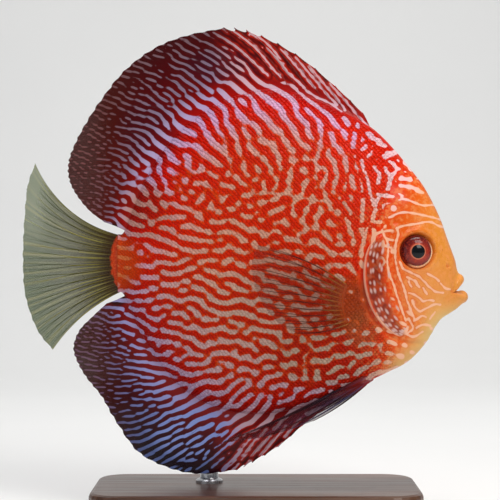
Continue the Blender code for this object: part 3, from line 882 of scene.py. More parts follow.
@dataclass(frozen=True)
class FishPaint:
    """The fish's colours: a ground and its pale marks, each changing over the side plane.

    The ramps run over millimetres out of the body's outline, and the face over x. On the body the
    lower ramps are darker than the upper ones as painted shade, the light falling from above;
    further out they hold the lower fins' own colours. Each patch is an oval's middle and half
    sizes, and what it turns the ground or the marks into.
    """

    upper_ground: tuple = stops(
        (-30, 214, 40, 2), (-6, 210, 18, 0), (1, 160, 8, 3), (8, 104, 3, 5), (18, 78, 3, 7),
        (28, 66, 5, 8),
    )
    lower_ground: tuple = stops(
        (-30, 196, 36, 3), (-6, 186, 22, 3), (1, 138, 10, 9), (8, 90, 4, 13), (16, 54, 3, 16),
        (25, 26, 6, 20),
    )
    upper_mark: tuple = stops(
        (-34, 214, 160, 136), (-18, 218, 160, 152), (-7, 218, 168, 206), (2, 188, 172, 214),
        (9, 140, 124, 150), (26, 124, 96, 104),
    )
    lower_mark: tuple = stops(
        (-34, 200, 168, 150), (-14, 196, 162, 166), (-2, 190, 164, 200), (5, 154, 158, 214),
        (14, 116, 130, 190), (25, 92, 110, 166),
    )
    face_ground: tuple = stops(
        (40, 226, 32, 2), (50, 228, 52, 6), (60, 232, 100, 24), (72, 232, 144, 52),
        (84, 228, 160, 76),
    )
    face_mark: Colour = tint(248, 190, 156)
    face_pale: Colour = tint(240, 158, 92)
    face_speck: Colour = tint(188, 78, 22)
    front_mark: Colour = tint(228, 186, 190)
    nape: tuple = (54, 32, 12, 17)
    nape_mark: Colour = tint(246, 204, 206)
    front_ground: Colour = tint(84, 4, 6)
    front_glow: Colour = tint(204, 36, 12)
    throat: Colour = tint(226, 190, 120)
    stalk: tuple = (-50.5, -3.0, 11.0, 11.5)
    stalk_ground: Colour = tint(206, 72, 14)
    stalk_mark: Colour = tint(210, 112, 62)
    rear_fin: Colour = tint(74, 24, 12)
    rear_mark: Colour = tint(112, 62, 56)
    cloud: Colour = (1.0, 0.62, 0.45)
    halo: Colour = tint(220, 88, 22)
    halo_share: float = 0.5
    brow_slope: float = 0.68
    mark_softness: float = 0.32
    flecking: float = 0.4
    wander: float = 0.9
    patches: tuple = (
        (68, -13, 10, 12, 0.42, tint(240, 172, 100)), (-37, 46.5, 11, 12, 0.5, tint(52, 6, 20)),
        # The oval at x 30, z -38 darkens the chest's ground: painted shade, the light falling from
        # above.
        (-39, 20, 9, 10, 0.45, tint(120, 24, 6)), (30, -38, 22, 14, 0.3, tint(130, 34, 8)),
        (39, -18.5, 8, 10, 0.85, tint(150, 62, 22)), (44, -28, 7, 7, 0.45, tint(150, 86, 46)),
        (-9, 72, 14, 6.5, 0.5, tint(46, 14, 34)), (44, 36, 17, 17, 0.45, tint(238, 44, 4)),
        (-50, 9.4, 3.6, 3.4, 0.9, tint(24, 14, 12)), (-49, -16.4, 3.6, 3.4, 0.9, tint(24, 14, 12)),
    )
    mark_patches: tuple = (
        (-37, 15, 11, 12, tint(198, 148, 136)), (-20, -68, 15, 10, tint(140, 160, 226)),
        # The oval at x 30, z -37 turns the chest's marks greyer and darker: painted shade, as
        # above.
        (30, -37, 22, 13, tint(182, 158, 138)),
    )

    def colours(self, weave: Weave, rows: Wire | None = None) -> tuple[Wire, Wire]:
        """The skin's colour and where its marks are.

        Args:
            weave: The material that is being built.
            rows: What is added to the marks' field, if anything.

        Returns:
            The colour, and 1 on a mark or 0 off it.
        """
        mix = weave.mix
        outward, field = weave.attribute("outward"), weave.attribute("marking")
        x, z = at = weave.axes()
        # Below the midline the lower ramps take over: darker on the body as painted shade of light
        # from above, and the lower fins' own colours further out.
        lower = z.step(6, -22)
        ground = mix(lower, outward.ramp(self.upper_ground), outward.ramp(self.lower_ground))
        mark = mix(lower, outward.ramp(self.upper_mark), outward.ramp(self.lower_mark))
        ahead = x - (z - 14).larger(0.0) * self.brow_slope
        face = ahead.step(36, 54) * outward.step(3, -2)
        ground = mix(face, ground, ahead.ramp(self.face_ground))
        mottle = weave.noise(640, 4).step(0.42, 0.66, 0, 0.55)
        ground = mix(mottle * face, ground, self.face_pale)
        speck = weave.noise(1700, 1).step(0.62, 0.72, 0, 0.4)
        ground = mix(speck * face, ground, self.face_speck)
        spines = x.step(-15, 3) * outward.step(-9, 3)
        mark = mix(spines * 0.8, mark, self.front_mark)
        glow = mix(field.step(-2.6, -0.5), self.front_ground, self.front_glow)
        ground = mix(spines * outward.step(1, 6) * 0.8, ground, glow)
        mark = mix(face, mark, self.face_mark)
        mark = mix(oval(at, *self.nape) * 0.8, mark, self.nape_mark)
        chin = outward.step(-9, -1.5) * x.step(50, 58) * z.step(-14, -24)
        ground = mix(chin * 0.85, ground, self.throat)
        stalk = oval(at, *self.stalk)
        ground = mix(stalk * 0.8, ground, self.stalk_ground)
        mark = mix(stalk, mark, self.stalk_mark)
        for *where, colour in self.mark_patches:
            mark = mix(oval(at, *where), mark, colour)
        rear = x.step(-34, -60) * outward.step(1, 9)
        ground = mix(rear * 0.7, ground, self.rear_fin)
        mark = mix(rear * 0.75, mark, self.rear_mark)
        for *where, share, colour in self.patches:
            ground = mix(oval(at, *where) * share, ground, colour)
        cloudy = weave.noise(90, 3).step(0.35, 0.75, 0, 0.3)
        ground = mix(cloudy, ground, weave.shade(ground, self.cloud))
        fine = (weave.noise(1500, 1) - 0.5) * self.flecking
        coarse = (weave.noise(520, 1) - 0.5) * self.wander
        edge = field + (fine + coarse * (face * -0.8 + 1.0))
        if rows is not None:
            edge = edge + rows
        halo = edge.step(-1, -0.2) * outward.step(-4, -16)
        ground = mix(halo * self.halo_share, ground, self.halo)
        on_mark = edge.step(-self.mark_softness, self.mark_softness)
        return mix(on_mark * 0.94, ground, mark), on_mark


@dataclass(frozen=True)
class SkinFinish:
    """Wet skin, bare on the face and seen between the scales on the flanks."""

    paint: FishPaint
    roughness: float = 0.34
    coat: float = 0.22

    def material(self) -> Material:
        """Builds the material."""
        weave = Weave("wet_skin")
        colour, on_mark = self.paint.colours(weave)
        folds = weave.noise(520, 3) + weave.noise(2600, 2) * 0.5
        return weave.finish(
            colour, on_mark.step(0, 1, self.roughness, self.roughness - 0.08), 0.05,
            (self.coat, 0.12), Normal=weave.bump(folds, 0.12, 0.5),
        )


@dataclass(frozen=True)
class ScaleFinish:
    """Scales in the skin's colours, each a little lighter or darker than the next, with a painted
    highlight on each scale's middle and painted shade towards its rim.
    """

    paint: FishPaint
    roughness: float = 0.3
    coat: float = 0.12
    tones: tuple = (
        (0.0, (0.88, 0.85, 0.85)), (0.5, (0.98, 0.97, 0.97)), (1.0, (1.0, 1.0, 1.0)),
    )
    beads: tuple = (
        (0.0, (0.87, 0.83, 0.83)), (0.45, (0.98, 0.97, 0.97)), (1.0, (1.06, 1.06, 1.08)),
    )

    def material(self) -> Material:
        """Builds the material."""
        weave = Weave("scale_coat")
        colour, on_mark = self.paint.colours(weave)
        # Tone: each scale lighter or darker at random. Glint: a painted highlight on the scale's
        # middle point, fading to painted shade at its rim.
        for name, ramp in (("tone", self.tones), ("bead", self.beads)):
            colour = weave.shade(colour, weave.attribute(name).ramp(ramp))
        return weave.finish(
            colour, on_mark.step(0, 1, self.roughness, self.roughness - 0.1), 0.04,
            (self.coat, 0.13), Normal=weave.bump(weave.noise(3800, 1), 0.05, 0.35),
        )


@dataclass(frozen=True)
class FinFinish:
    """The unpaired fins: patterned webs that turn clear towards their rear corners."""

    name: str
    paint: FishPaint
    clearest: float
    darker: float = 0.0
    clear_from: float = -42.0
    clear_to: float = -66.0
    rows: float = 0.55
    dark: Colour = (0.06, 0.012, 0.012)

    def material(self) -> Material:
        """Builds the material."""
        weave = Weave(self.name)
        outward = weave.attribute("outward")
        wave = weave.math("COSINE", weave.attribute("across") * (4 * math.pi))
        colour, on_mark = self.paint.colours(weave, wave * outward.step(3, 12, 0, self.rows))
        rear = weave.axes()[0].step(self.clear_from, self.clear_to)
        clear = rear.larger(outward.step(17, 29, 0, 0.4)) * outward.step(2, 12)
        return weave.finish(
            weave.mix(self.darker, colour, self.dark), 0.4, 0.06, (0.2, 0.14),
            Alpha=clear.step(0, 1, 1, self.clearest).larger(on_mark * 0.8),
            Normal=weave.bump(weave.noise(1800, 2), 0.08, 0.5),
        )


@dataclass(frozen=True)
class ClearFinish:
    """A clear web or its rays, in one colour at the root, one midway and one at the tip."""

    name: str
    root: Colour
    middle: Colour
    tip: Colour
    root_alpha: float
    tip_alpha: float
    streak: Colour
    streaks: float = 0.0
    clear_by: float = 0.6

    def overlaid(self, weave: Weave, colour: Wire, alpha: Wire) -> tuple[Wire, Wire]:
        """Lays nothing over the fin."""
        return colour, alpha

    def material(self) -> Material:
        """Builds the material."""
        weave = Weave(self.name)
        along, across = weave.attribute("along"), weave.attribute("across")
        colour = along.ramp(((0.0, self.root), (0.35, self.middle), (1.0, self.tip)))
        stripe = {"W": across, "Scale": 2.6, "Detail": 2.0}
        stripe = weave.wire("ShaderNodeTexNoise", stripe, noise_dimensions="1D")
        pale = stripe.step(0.48, 0.66, 0, self.streaks)
        colour = weave.mix(pale, colour, self.streak)
        alpha = along.step(0.02, self.clear_by, self.root_alpha, self.tip_alpha)
        colour, alpha = self.overlaid(weave, colour, alpha.larger(pale * 0.6))
        dents = weave.bump(weave.noise(2400, 2), 0.06, 0.4)
        return weave.finish(colour, 0.35, 0.1, (0.2, 0.14), Alpha=alpha, Normal=dents)


@dataclass(frozen=True)
class TailFinish(ClearFinish):
    """The tail's clear web or rays, with the stalk's scaly end over their root."""

    scaly_middle: tuple = (-32.0, -2.7)
    scaly_radius: float = 19.4
    scaly: Colour = tint(196, 54, 8)
    grains: Colour = tint(220, 100, 44)
    dusk: Colour = tint(52, 30, 14)
    fold: Colour = tint(176, 184, 156)

    def overlaid(self, weave: Weave, colour: Wire, alpha: Wire) -> tuple[Wire, Wire]:
        """Lays the stalk's scaly end over the root, and a pale fold on the upper tip.

        Args:
            weave: The material that is being built.
            colour: The fin's own colour.
            alpha: How solid the fin is.

        Returns:
            The new colour and how solid the fin is with it.
        """
        x, z = (wire - middle for wire, middle in zip(weave.axes(), self.scaly_middle))
        far = weave.math("SQRT", x * x + z * z) + weave.noise(900, 2).step(0.3, 0.7, -0.4, 0.4)
        on = far.step(self.scaly_radius + 0.5, self.scaly_radius - 0.5)
        upper = weave.attribute("across").step(6.8, 2.4, 0, 0.5)
        colour = weave.mix(upper * weave.attribute("along").step(0.66, 0.92), colour, self.fold)
        dusk = far.step(self.scaly_radius + 7, self.scaly_radius + 0.5, 0, 0.75)
        colour = weave.mix(dusk, colour, self.dusk)
        grain = weave.noise(1400, 1).step(0.5, 0.62, 0, 0.5)
        scaly = weave.mix(grain, self.scaly, self.grains)
        return weave.mix(on, colour, scaly), alpha.larger(on)


@dataclass(frozen=True)
class CoverFinish:
    """The gill cover's dark, dotted skin with its pale rim."""

    paint: FishPaint
    dark: Colour = tint(122, 34, 14)
    blotch: Colour = tint(168, 62, 28)
    dots: Colour = tint(218, 180, 172)
    rim: Colour = tint(236, 168, 140)

    def material(self) -> Material:
        """Builds the material."""
        weave = Weave("gill_cover_skin")
        colour, _ = self.paint.colours(weave)
        blotch = weave.mix(weave.noise(420, 2).step(0.4, 0.65), self.dark, self.blotch)
        colour = weave.mix(weave.attribute("inner"), colour, blotch)
        colour = weave.mix(weave.attribute("dot") * 0.85, colour, self.dots)
        colour = weave.mix(weave.attribute("rim"), colour, self.rim)
        dents = weave.bump(weave.noise(900, 3), 0.12, 0.5)
        return weave.finish(colour, 0.32, 0.05, (0.35, 0.12), Normal=dents)


@dataclass(frozen=True)
class EyeFinish:
    """The eye: a black pupil, a pale ring, a red iris and a pale outer rim.

    The rings run over millimetres from the pupil's middle.
    """

    rings: tuple = stops(
        (0.0, 10, 14, 18), (2.5, 10, 14, 18), (2.62, 204, 112, 80), (2.86, 204, 112, 80),
        (3.1, 164, 52, 36), (4.3, 140, 40, 30), (5.3, 96, 24, 26), (5.75, 110, 36, 34),
        (6.3, 190, 96, 60),
    )
    shadow: Colour = (0.42, 0.3, 0.55)
    crescent: Colour = tint(255, 214, 170)
    fibre: Colour = tint(206, 70, 36)

    def material(self) -> Material:
        """Builds the material."""
        weave = Weave("eye")
        radius, around = weave.attribute("from_pupil"), weave.attribute("around")
        iris, beyond, fibres = radius.ramp(self.rings), radius.step(3, 3.6), weave.noise(1600, 3)
        upper = around.step(-0.6, 0.9, 0, 0.85) * beyond
        colour = weave.mix(upper, iris, weave.shade(iris, self.shadow))
        front = around.step(0, -0.7) * radius.step(5.25, 5.6)
        colour = weave.mix(front, colour, self.crescent)
        colour = weave.mix(beyond * fibres.step(0.45, 0.7, 0, 0.4), colour, self.fibre)
        wet = {"Coat IOR": 1.33, "Normal": weave.bump(fibres, 0.05, 0.4)}
        return weave.finish(colour, 0.22, 0.1, (0.8, 0.03), **wet)


@dataclass(frozen=True)
class WalnutFinish:
    """Dark wood in a satin lacquer, its grain along X."""

    tones: tuple = stops((0.36, 46, 27, 18), (0.5, 74, 44, 28), (0.68, 104, 66, 42))
    pore: Colour = tint(24, 14, 10)

    def material(self) -> Material:
        """Builds the material."""
        weave = Weave("walnut")
        slow = weave.noise(26, 4, (0.22, 1.0, 1.6))
        lines = weave.noise(420, 3, (0.045, 1.0, 1.2))
        pores = weave.noise(2200, 1, (0.06, 1.0, 1.0)).step(0.62, 0.72)
        colour = weave.mix(pores * 0.6, (slow * 0.65 + lines * 0.4).ramp(self.tones), self.pore)
        rough = lines.step(0.3, 0.7, 0.34, 0.48)
        dents = weave.bump(pores, -0.05, 0.6)
        return weave.finish(colour, rough, coat=(0.25, 0.22), Normal=dents)


@dataclass(frozen=True)
class SteelFinish:
    """Brushed steel, its fine lines along the rod."""

    grey: Colour = (0.55, 0.56, 0.58)
    dark: Colour = (0.36, 0.36, 0.38)

    def material(self) -> Material:
        """Builds the material."""
        weave = Weave("brushed_steel")
        lines = weave.noise(5200, 2, (1.0, 1.0, 0.03))
        colour = weave.mix(lines.step(0.3, 0.7, 0, 0.25), self.grey, self.dark)
        rough = lines.step(0.3, 0.7, 0.22, 0.36)
        return weave.finish(colour, rough, Metallic=1.0, Normal=weave.bump(lines, 0.02, 0.4))


@dataclass(frozen=True)
class PadFinish:
    """Soft dark rubber."""

    dark: Colour = (0.1, 0.1, 0.1)
    light: Colour = (0.16, 0.155, 0.15)

    def material(self) -> Material:
        """Builds the material."""
        weave = Weave("rubber_pad")
        shade = weave.mix(weave.noise(700, 2), self.dark, self.light)
        return weave.finish(shade, 0.6, Normal=weave.bump(weave.noise(2500), 0.03))


@dataclass(frozen=True)
class PaperFinish:
    """The studio's pale paper sweep."""

    shade: Colour = (0.8, 0.8, 0.79)
    light: Colour = (0.83, 0.83, 0.82)

    def material(self) -> Material:
        """Builds the material."""
        weave = Weave("paper")
        return weave.finish(weave.mix(weave.noise(8, 2), self.shade, self.light), 0.85)


@dataclass
class Skin:
    """One closed skin over tail stalk, trunk and head, down to the lips and into the mouth.

    A spot is a round rise or pit: its middle, how far from it the rise is, its half width and
    its height. A crease is the same along a line.
    """

    gill_slit = curved((
        484, 86, 448, 24, 434, -50, 438, -124, 461, -198, 500, -260, 548, -302, 604, -330, 660,
        -336,
    ))
    ridge = curved((
        564, 102, 563, 48, 560, 10, 572, -69, 599, -141, 617, -199, 646, -264, 700, -286,
    ))

    form: BodyForm
    trunk_columns: int = 118
    head_columns: int = 96
    cheek_columns: int = 9
    lip_columns: int = 15
    throat_columns: int = 5
    rows: int = 168
    tail_end: tuple = (-49.1, 0, -3.1)
    gullet: tuple = (74.2, 0, -13.0)
    mouth_middle: float = -13.4
    socket_depth: float = 2.8
    socket_rim: tuple = (6.0, 7.2)
    eye: tuple = (64.7, 1.4)
    brow: tuple = (66.0, 9.6)
    spots: tuple = (
        (64.7, 1.4, 7.8, 0.8, 0.34), (76.4, -4.2, 0.0, 0.62, -0.95),
        (76.4, -4.2, 1.054, 0.31, 0.152), (78.6, -6.0, 0.0, 0.34, -0.5),
        (78.6, -6.0, 0.578, 0.17, 0.08),
    )
    creases: tuple = (
        (ridge, 0.0, 1.0, 0.26), (ridge, 2.3, 0.9, -0.16), (gill_slit, 0.0, 0.7, -0.55),
        (((76.6, -14.4), (73.4, -19.0), (70.0, -21.6)), 0.0, 0.6, -0.28),
    )

    def __post_init__(self) -> None:
        """Lays out the points of a ring."""
        even = np.linspace(0, 1, self.rows + 1)
        eased = 0.5 - 0.5 * np.cos(np.pi * even)
        heights = 0.55 * even + 0.45 * eased
        self.height = np.concatenate([heights, heights[-2:0:-1]])
        self.side = np.concatenate([np.full(self.rows + 1, -1.0), np.full(self.rows - 1, 1.0)])

    def ring(self, station: float | Array) -> Array:
        """One ring of points round the body at a station, or at one for each point."""
        x, half, z = self.form.section(station + 0 * self.height, self.height)
        return np.stack([x, self.side * half, z], -1)

    def muzzle_stations(self) -> Array:
        """Where each point of the last plain ring is: further back beside the mouth."""
        return self.form.muzzle - 0.85 * 4 * self.height * (1 - self.height)

    def lips(self) -> Array:
        """The rings from the muzzle over the lips and into the mouth."""
        last = self.muzzle_stations()
        base = self.ring(last)
        lead = unit(base - self.ring(last - 0.1))
        turn = np.arctan2(base[:, 1], base[:, 2] - self.mouth_middle)
        up, out = np.cos(turn), np.sin(turn)
        upper, lower = np.maximum(up, 0), np.maximum(-up, 0)
        centre = np.stack([
            77.8 + 3.5 * upper**0.7 + 4.7 * lower**0.7, 4.4 * out,
            -14.2 + 4.9 * upper - 1.8 * lower,
        ], -1)
        radius = (1.25 + 0.9 * upper + 1.25 * lower)[:, None]
        spoke = np.stack([0 * out, out, up], -1)
        ahead = np.array([1.0, 0.0, 0.0])
        first, final = np.radians(112 - 40 * upper - 44 * lower)[:, None], math.radians(-118)

        def roll(share: float) -> Array:
            """The ring part of the way over the lip, from its outer side to its inner."""
            a = first + (final - first) * share
            return centre + radius * (ahead * np.cos(a) + spoke * np.sin(a))

        end = roll(0)
        reach = np.linalg.norm(end - base, axis=1, keepdims=True)
        leave = lead * reach * 0.9
        arrive = (ahead * np.sin(first) - spoke * np.cos(first)) * reach * 0.8
        rings = [
            (2 * s**3 - 3 * s**2 + 1) * base + (s**3 - 2 * s**2 + s) * leave
            + (3 * s**2 - 2 * s**3) * end + (s**3 - s**2) * arrive
            for s in np.linspace(0, 1, self.cheek_columns + 1)[1:]
        ]
        rings += [roll(share) for share in np.linspace(0, 1, self.lip_columns + 1)[1:]]
        inside = rings[-1]
        deep = np.stack(
            [0 * turn + 74.6, inside[:, 1] * 0.25, -13.0 + (inside[:, 2] + 13.0) * 0.15], -1
        )
        shares = np.linspace(0, 1, self.throat_columns + 1)[1:]
        rings += [inside + (deep - inside) * share for share in shares]
        return np.array(rings)

    def relief(self, x: Array, z: Array) -> Array:
        """How far the skin stands out of or sinks into the body's plain form.

        Args:
            x: The points' x.
            z: The points' z.

        Returns:
            Millimetres along the skin's own normal.
        """
        from_eye = np.hypot(x - self.eye[0], z - self.eye[1])
        up = -self.socket_depth * (1 - rise(from_eye, *self.socket_rim))
        up += 0.3 * bell(np.hypot((x - self.brow[0]) / 1.3, z - self.brow[1]), 2.2)
        for spot_x, spot_z, off, width, height in self.spots:
            up += height * bell(np.hypot(x - spot_x, z - spot_z) - off, width)
        for line, off, width, height in self.creases:
            up += height * bell(distance_to(line, x, z) - off, width)
        slow = np.sin(0.21 * x + 1.3) * np.sin(0.17 * z + 0.4) + np.sin(0.33 * x - 0.29 * z)
        return up + 0.06 * slow

    def build(self, finish: Material, marks: Markings) -> None:
        """Builds the skin.

        Args:
            finish: Its material.
            marks: The marks that it carries.
        """
        start = self.form.head_start
        forward = self.muzzle_stations() - start
        shares = np.linspace(0, 1, self.head_columns + 1)[1:]
        rings = [self.ring(station) for station in np.linspace(0, start, self.trunk_columns + 1)]
        rings = np.array(rings + [self.ring(start + forward * share) for share in shares])
        round_ = np.roll(rings, -1, 1) - np.roll(rings, 1, 1)
        normal = unit(np.cross(round_, np.gradient(rings, axis=0)))
        lift = self.relief(rings[..., 0], rings[..., 2]) * rise(np.abs(rings[..., 1]), 0.3, 2.0)
        outward = np.where((normal[..., 1] * self.side)[..., None] < 0, -normal, normal)
        rings = np.concatenate([rings + outward * lift[..., None], self.lips()])
        self.columns, self.count = rings.shape[:2]
        points = np.concatenate([rings.reshape(-1, 3), [self.tail_end, self.gullet]])
        faces = tube(self.columns, self.count)
        piece = make_piece("skin", points, faces, finish, sharp_angle=80)
        marks.paint(piece)
        self._unwrap(piece.data)
        self.tree = BVHTree.FromPolygons(place(points).tolist(), faces)
        attach(piece, "skin", "head", "trunk", "tail_stalk")

    def unwrapped(self, column: Array, spot: Array) -> Array:
        """u and v on the skin's own unwrap, from a ring's number and a point's round it."""
        u = 0.02 + 0.96 * column / self.columns
        return np.stack([u, 0.02 + 0.96 * spot / self.count], -1)

    def _unwrap(self, mesh: Mesh) -> None:
        """Lays the skin out flat, tail to mouth by once round the body.

        Args:
            mesh: The skin's mesh.
        """
        corner = read(mesh.loops, "vertex_index")
        column, spot = np.divmod(np.minimum(corner, self.columns * self.count - 1), self.count)
        furthest = np.maximum.reduceat(spot, read(mesh.polygons, "loop_start"))
        wraps = np.repeat(furthest == self.count - 1, read(mesh.polygons, "loop_total"))
        flat = self.unwrapped(column, np.where(wraps & (spot == 0), self.count, spot))
        layer = mesh.uv_layers.new(name="OFBake")
        layer.data.foreach_set("uv", flat.astype(np.float32).ravel())

    def touch(self, x: float, z: float, side: Side) -> tuple | None:
        """Finds the skin straight in from one side.

        Args:
            x: The place's x.
            z: The place's z.
            side: The flank.

        Returns:
            The half thickness, the outward normal and the face's number, or None beside the fish.
        """
        start = Vector(place((x, side.value * 60.0, z)))
        hit, normal, face, _ = self.tree.ray_cast(start, Vector((0, -side.value, 0)))
        if hit is None:
            return None
        return abs(hit.y) / MM, normal if normal.y * side.value > 0 else -normal, face


@dataclass
class ScaleCoat:
    """The overlapping scales of the flanks, each a thin closed plate rooted in the skin."""

    skin: Skin
    marks: Markings
    finish: Material
    rows_each_way: int = 81
    steps: int = 74
    pitch: float = 1.54
    row_height: float = 0.86
    edge_gap: float = 0.7
    length: float = 2.2
    width: float = 1.9
    lift: float = 1.6
    parting: float = 4.0
    front: float = 61.2
    middle: float = -3.0
    gather: float = 0.26
    seeds: tuple = (5, 6)
    rim: tuple = (
        (-0.04, 0), (0.12, -0.4), (0.6, -0.5), (0.95, -0.24), (0.95, 0.24), (0.6, 0.5),
        (0.12, 0.4),
    )
    front_line: tuple = (
        610, 460, 580, 370, 550, 250, 514, 140, 466, 64, 428, -40, 428, -130, 452, -210, 494, -274,
        546, -324, 570, -380, 576, -460,
    )

    def __post_init__(self) -> None:
        """Builds the tree that sets a plate on every root point, along its lie."""
        grower = self.grower = Grower(
            "scale_coat", Plate="Object", Length="Float", Width="Float", Tilt="Float", Seed="Int",
        )
        add, given, stored = grower.add, grower.given, grower.stored
        align, vector = "FunctionNodeAlignRotationToVector", "FLOAT_VECTOR"
        stand = add(align, {"Vector": stored("out", vector)}, axis="Z")[0]
        aim = {"Rotation": stand, "Vector": stored("lie", vector)}
        aim = add(align, aim, axis="X", pivot_axis="Z")[0]
        vary = {2: 0.6, 3: 1.4, "Seed": given["Seed"]}
        vary = add("FunctionNodeRandomValue", vary, data_type="FLOAT")[1]
        tip = add("ShaderNodeMath", {0: vary, 1: given["Tilt"]}, operation="MULTIPLY")[0]
        tilt = add("FunctionNodeAxisAngleToRotation", {"Axis": (0, 1, 0), "Angle": tip})[0]
        turned = {"Rotation": aim, "Rotate By": tilt}
        turned = add("FunctionNodeRotateRotation", turned, rotation_space="LOCAL")[0]
        size = {axis: given[name] for axis, name in enumerate(("Length", "Width", "Length"))}
        size = {0: add("ShaderNodeCombineXYZ", size)[0], "Scale": stored("size")}
        size = add("ShaderNodeVectorMath", size, operation="SCALE")[0]
        plate = add("GeometryNodeObjectInfo", {"Object": given["Plate"]})["Geometry"]
        coat = {"Points": given["Source"], "Instance": plate, "Rotation": turned, "Scale": size}
        coat = add("GeometryNodeInstanceOnPoints", coat)[0]
        coat = add("GeometryNodeRealizeInstances", {"Geometry": coat})[0]
        patch = {0: stored("plate_place", vector), 1: (BAKE_PATCH, BAKE_PATCH, 0)}
        patch[2] = stored("unwrap", vector)
        patch = add("ShaderNodeVectorMath", patch, operation="MULTIPLY_ADD")[0]
        coat = {"Geometry": coat, "Name": "OFBake", "Value": patch}
        kept = "GeometryNodeStoreNamedAttribute"
        grower.end(add(kept, coat, data_type="FLOAT2", domain="CORNER")[0])

    def _plate(self) -> Object:
        """One scale: root at the origin, its free edge at x = 1, its outer face up."""
        points = [(x, y, 0.03 * x + 0.006) for x, y in self.rim]
        points += [(x, y, 0.03 * x - 0.03) for x, y in self.rim]
        points.append((0.66, 0.0, 0.042))
        count = len(self.rim)
        faces = [(i, (i + 1) % count, 2 * count) for i in range(count)]
        faces += [(i + count, (i + 1) % count + count, (i + 1) % count, i) for i in range(count)]
        faces.append(tuple(range(2 * count - 1, count - 1, -1)))
        mesh = new_mesh("scale_plate", points, faces=faces)
        mesh.shade_smooth()
        store(mesh, "plate_place", np.array(points), "FLOAT_VECTOR")
        return linked("scale_plate", mesh)

    def _roots(self, side: Side) -> dict[str, Array]:
        """Where one flank's scales grow, and how each lies.

        Args:
            side: The flank.

        Returns:
            The roots' places, normals, lies, sizes, tones and places on the skin's unwrap.
        """
        chance = np.random.default_rng(self.seeds[side is Side.LEFT])
        edge = curved(self.front_line)
        edge_x, edge_z = edge[np.argsort(edge[:, 1])].T
        found = {name: [] for name in ("place", "out", "lie", "size", "tone", "unwrap")}
        for row in range(-self.rows_each_way, self.rows_each_way + 1):
            for step in range(-1, self.steps):
                x = self.front - (step + 0.5 * (row % 2)) * self.pitch
                gathered = 1.0 - self.gather * rise(x, 0, -50)
                z = self.middle + row * self.row_height * gathered
                x += chance.uniform(-0.2, 0.2)
                z += chance.uniform(-0.12, 0.12)
                outward = float(self.marks.look_up(self.marks.outward, x, z))
                limit = np.interp(z, edge_z, edge_x)
                inside = outward <= -self.edge_gap and x <= limit
                touched = inside and self.skin.touch(x, z, side)
                if not touched:
                    continue
                half, normal, face = touched
                slant = self.gather * rise(x, 0, -50) * (z - self.middle) / 60.0
                lie = Vector((-1.0, 0.0, slant))
                lie = (lie - normal * lie.dot(normal)).normalized()
                small = gathered * (1 - 0.3 * rise(outward, -9, -1))
                small *= 1 - 0.4 * rise(x - limit, -11, 0)
                values = (
                    (x, side.value * half, z), tuple(normal), tuple(lie),
                    small * chance.uniform(0.92, 1.1), chance.uniform(0, 1),
                    (*self.skin.unwrapped(*divmod(face, self.skin.count)), 0.0),
                )
                for kept, value in zip(found.values(), values):
                    kept.append(value)
        return {name: np.array(values, np.float32) for name, values in found.items()}

    def build(self, side: Side) -> None:
        """Builds one flank's coat, in a front piece and a rear one.

        Args:
            side: The flank.
        """
        roots = self._roots(side)
        front = roots["place"][:, 0] > self.parting
        for part, chosen in (("front", front), ("rear", ~front)):
            bed = new_mesh("scale_roots", place(roots["place"][chosen]))
            for name in ("out", "lie", "unwrap", "size", "tone"):
                values = roots[name][chosen]
                store(bed, name, values, "FLOAT" if values.ndim == 1 else "FLOAT_VECTOR")
            plate = self._plate()
            piece = self.grower.grow(
                f"scales_{side.word}_{part}", bed, Plate=plate, Length=self.length * MM, Seed=3,
                Width=self.width * MM, Tilt=-math.radians(self.lift), Finish=self.finish,
            )
            bpy.data.objects.remove(plate)
            self._mark(piece.data, side is Side.LEFT)
            attach(piece, "skin")

    def _mark(self, mesh: Mesh, left: bool) -> None:
        """Stores the marks on every plate, and which point is the middle of its bare part, where
        the finish paints each scale's highlight.

        Args:
            mesh: The plates' mesh.
            left: Whether they are on the left flank.
        """
        points = own_frame(mesh)
        field, outward = self.marks.values(points, np.full(len(points), float(left)))
        each = 2 * len(self.rim) + 1
        plates = field.reshape(-1, each)
        field = plates * 0.65 + plates.mean(1, keepdims=True) * 0.35
        bead = np.arange(len(points)) % each == each - 1
        for name, values in (("marking", field), ("outward", outward), ("bead", bead)):
            store(mesh, name, values)


@dataclass
class RayRods:
    """Turns lines into tapering bony rods."""

    sides: int = 6

    def __post_init__(self) -> None:
        """Builds the tree that sweeps a round section along every line."""
        grower = self.grower = Grower("ray_rods", Sides="Int")
        add, given = grower.add, grower.given
        line = add("GeometryNodeMeshToCurve", {"Mesh": given["Source"]})[0]
        section = {"Radius": 1.0, "Resolution": given["Sides"]}
        section = add("GeometryNodeCurvePrimitiveCircle", section)[0]
        sweep = {"Curve": line, "Profile Curve": section, "Scale": grower.stored("thick")}
        sweep = add("GeometryNodeCurveToMesh", {"Fill Caps": True, **sweep})[0]
        grower.end(add("GeometryNodeRealizeInstances", {"Geometry": sweep})[0])

    def build(self, name: str, lines: list[dict], finish: Material) -> Object:
        """Builds the rods of one fin.

        Args:
            name: The piece's name.
            lines: For each rod its points in the fish's own frame, its radii in millimetres,
                and how far along and across the fin each point is.
            finish: The rods' material.

        Returns:
            The piece, not yet attached.
        """
        joined = {key: np.concatenate([line[key] for line in lines]) for key in lines[0]}
        starts = np.cumsum([0] + [len(line["points"]) for line in lines])
        edges = [(i, i + 1) for a, b in zip(starts[:-1], starts[1:]) for i in range(a, b - 1)]
        bed = new_mesh(name, place(joined["points"]), edges)
        for key, scale in (("thick", MM), ("along", 1.0), ("across", 1.0)):
            store(bed, key, joined[key] * scale)
        piece = self.grower.grow(name, bed, Sides=self.sides, Finish=finish)
        piece.data.shade_smooth()
        return piece


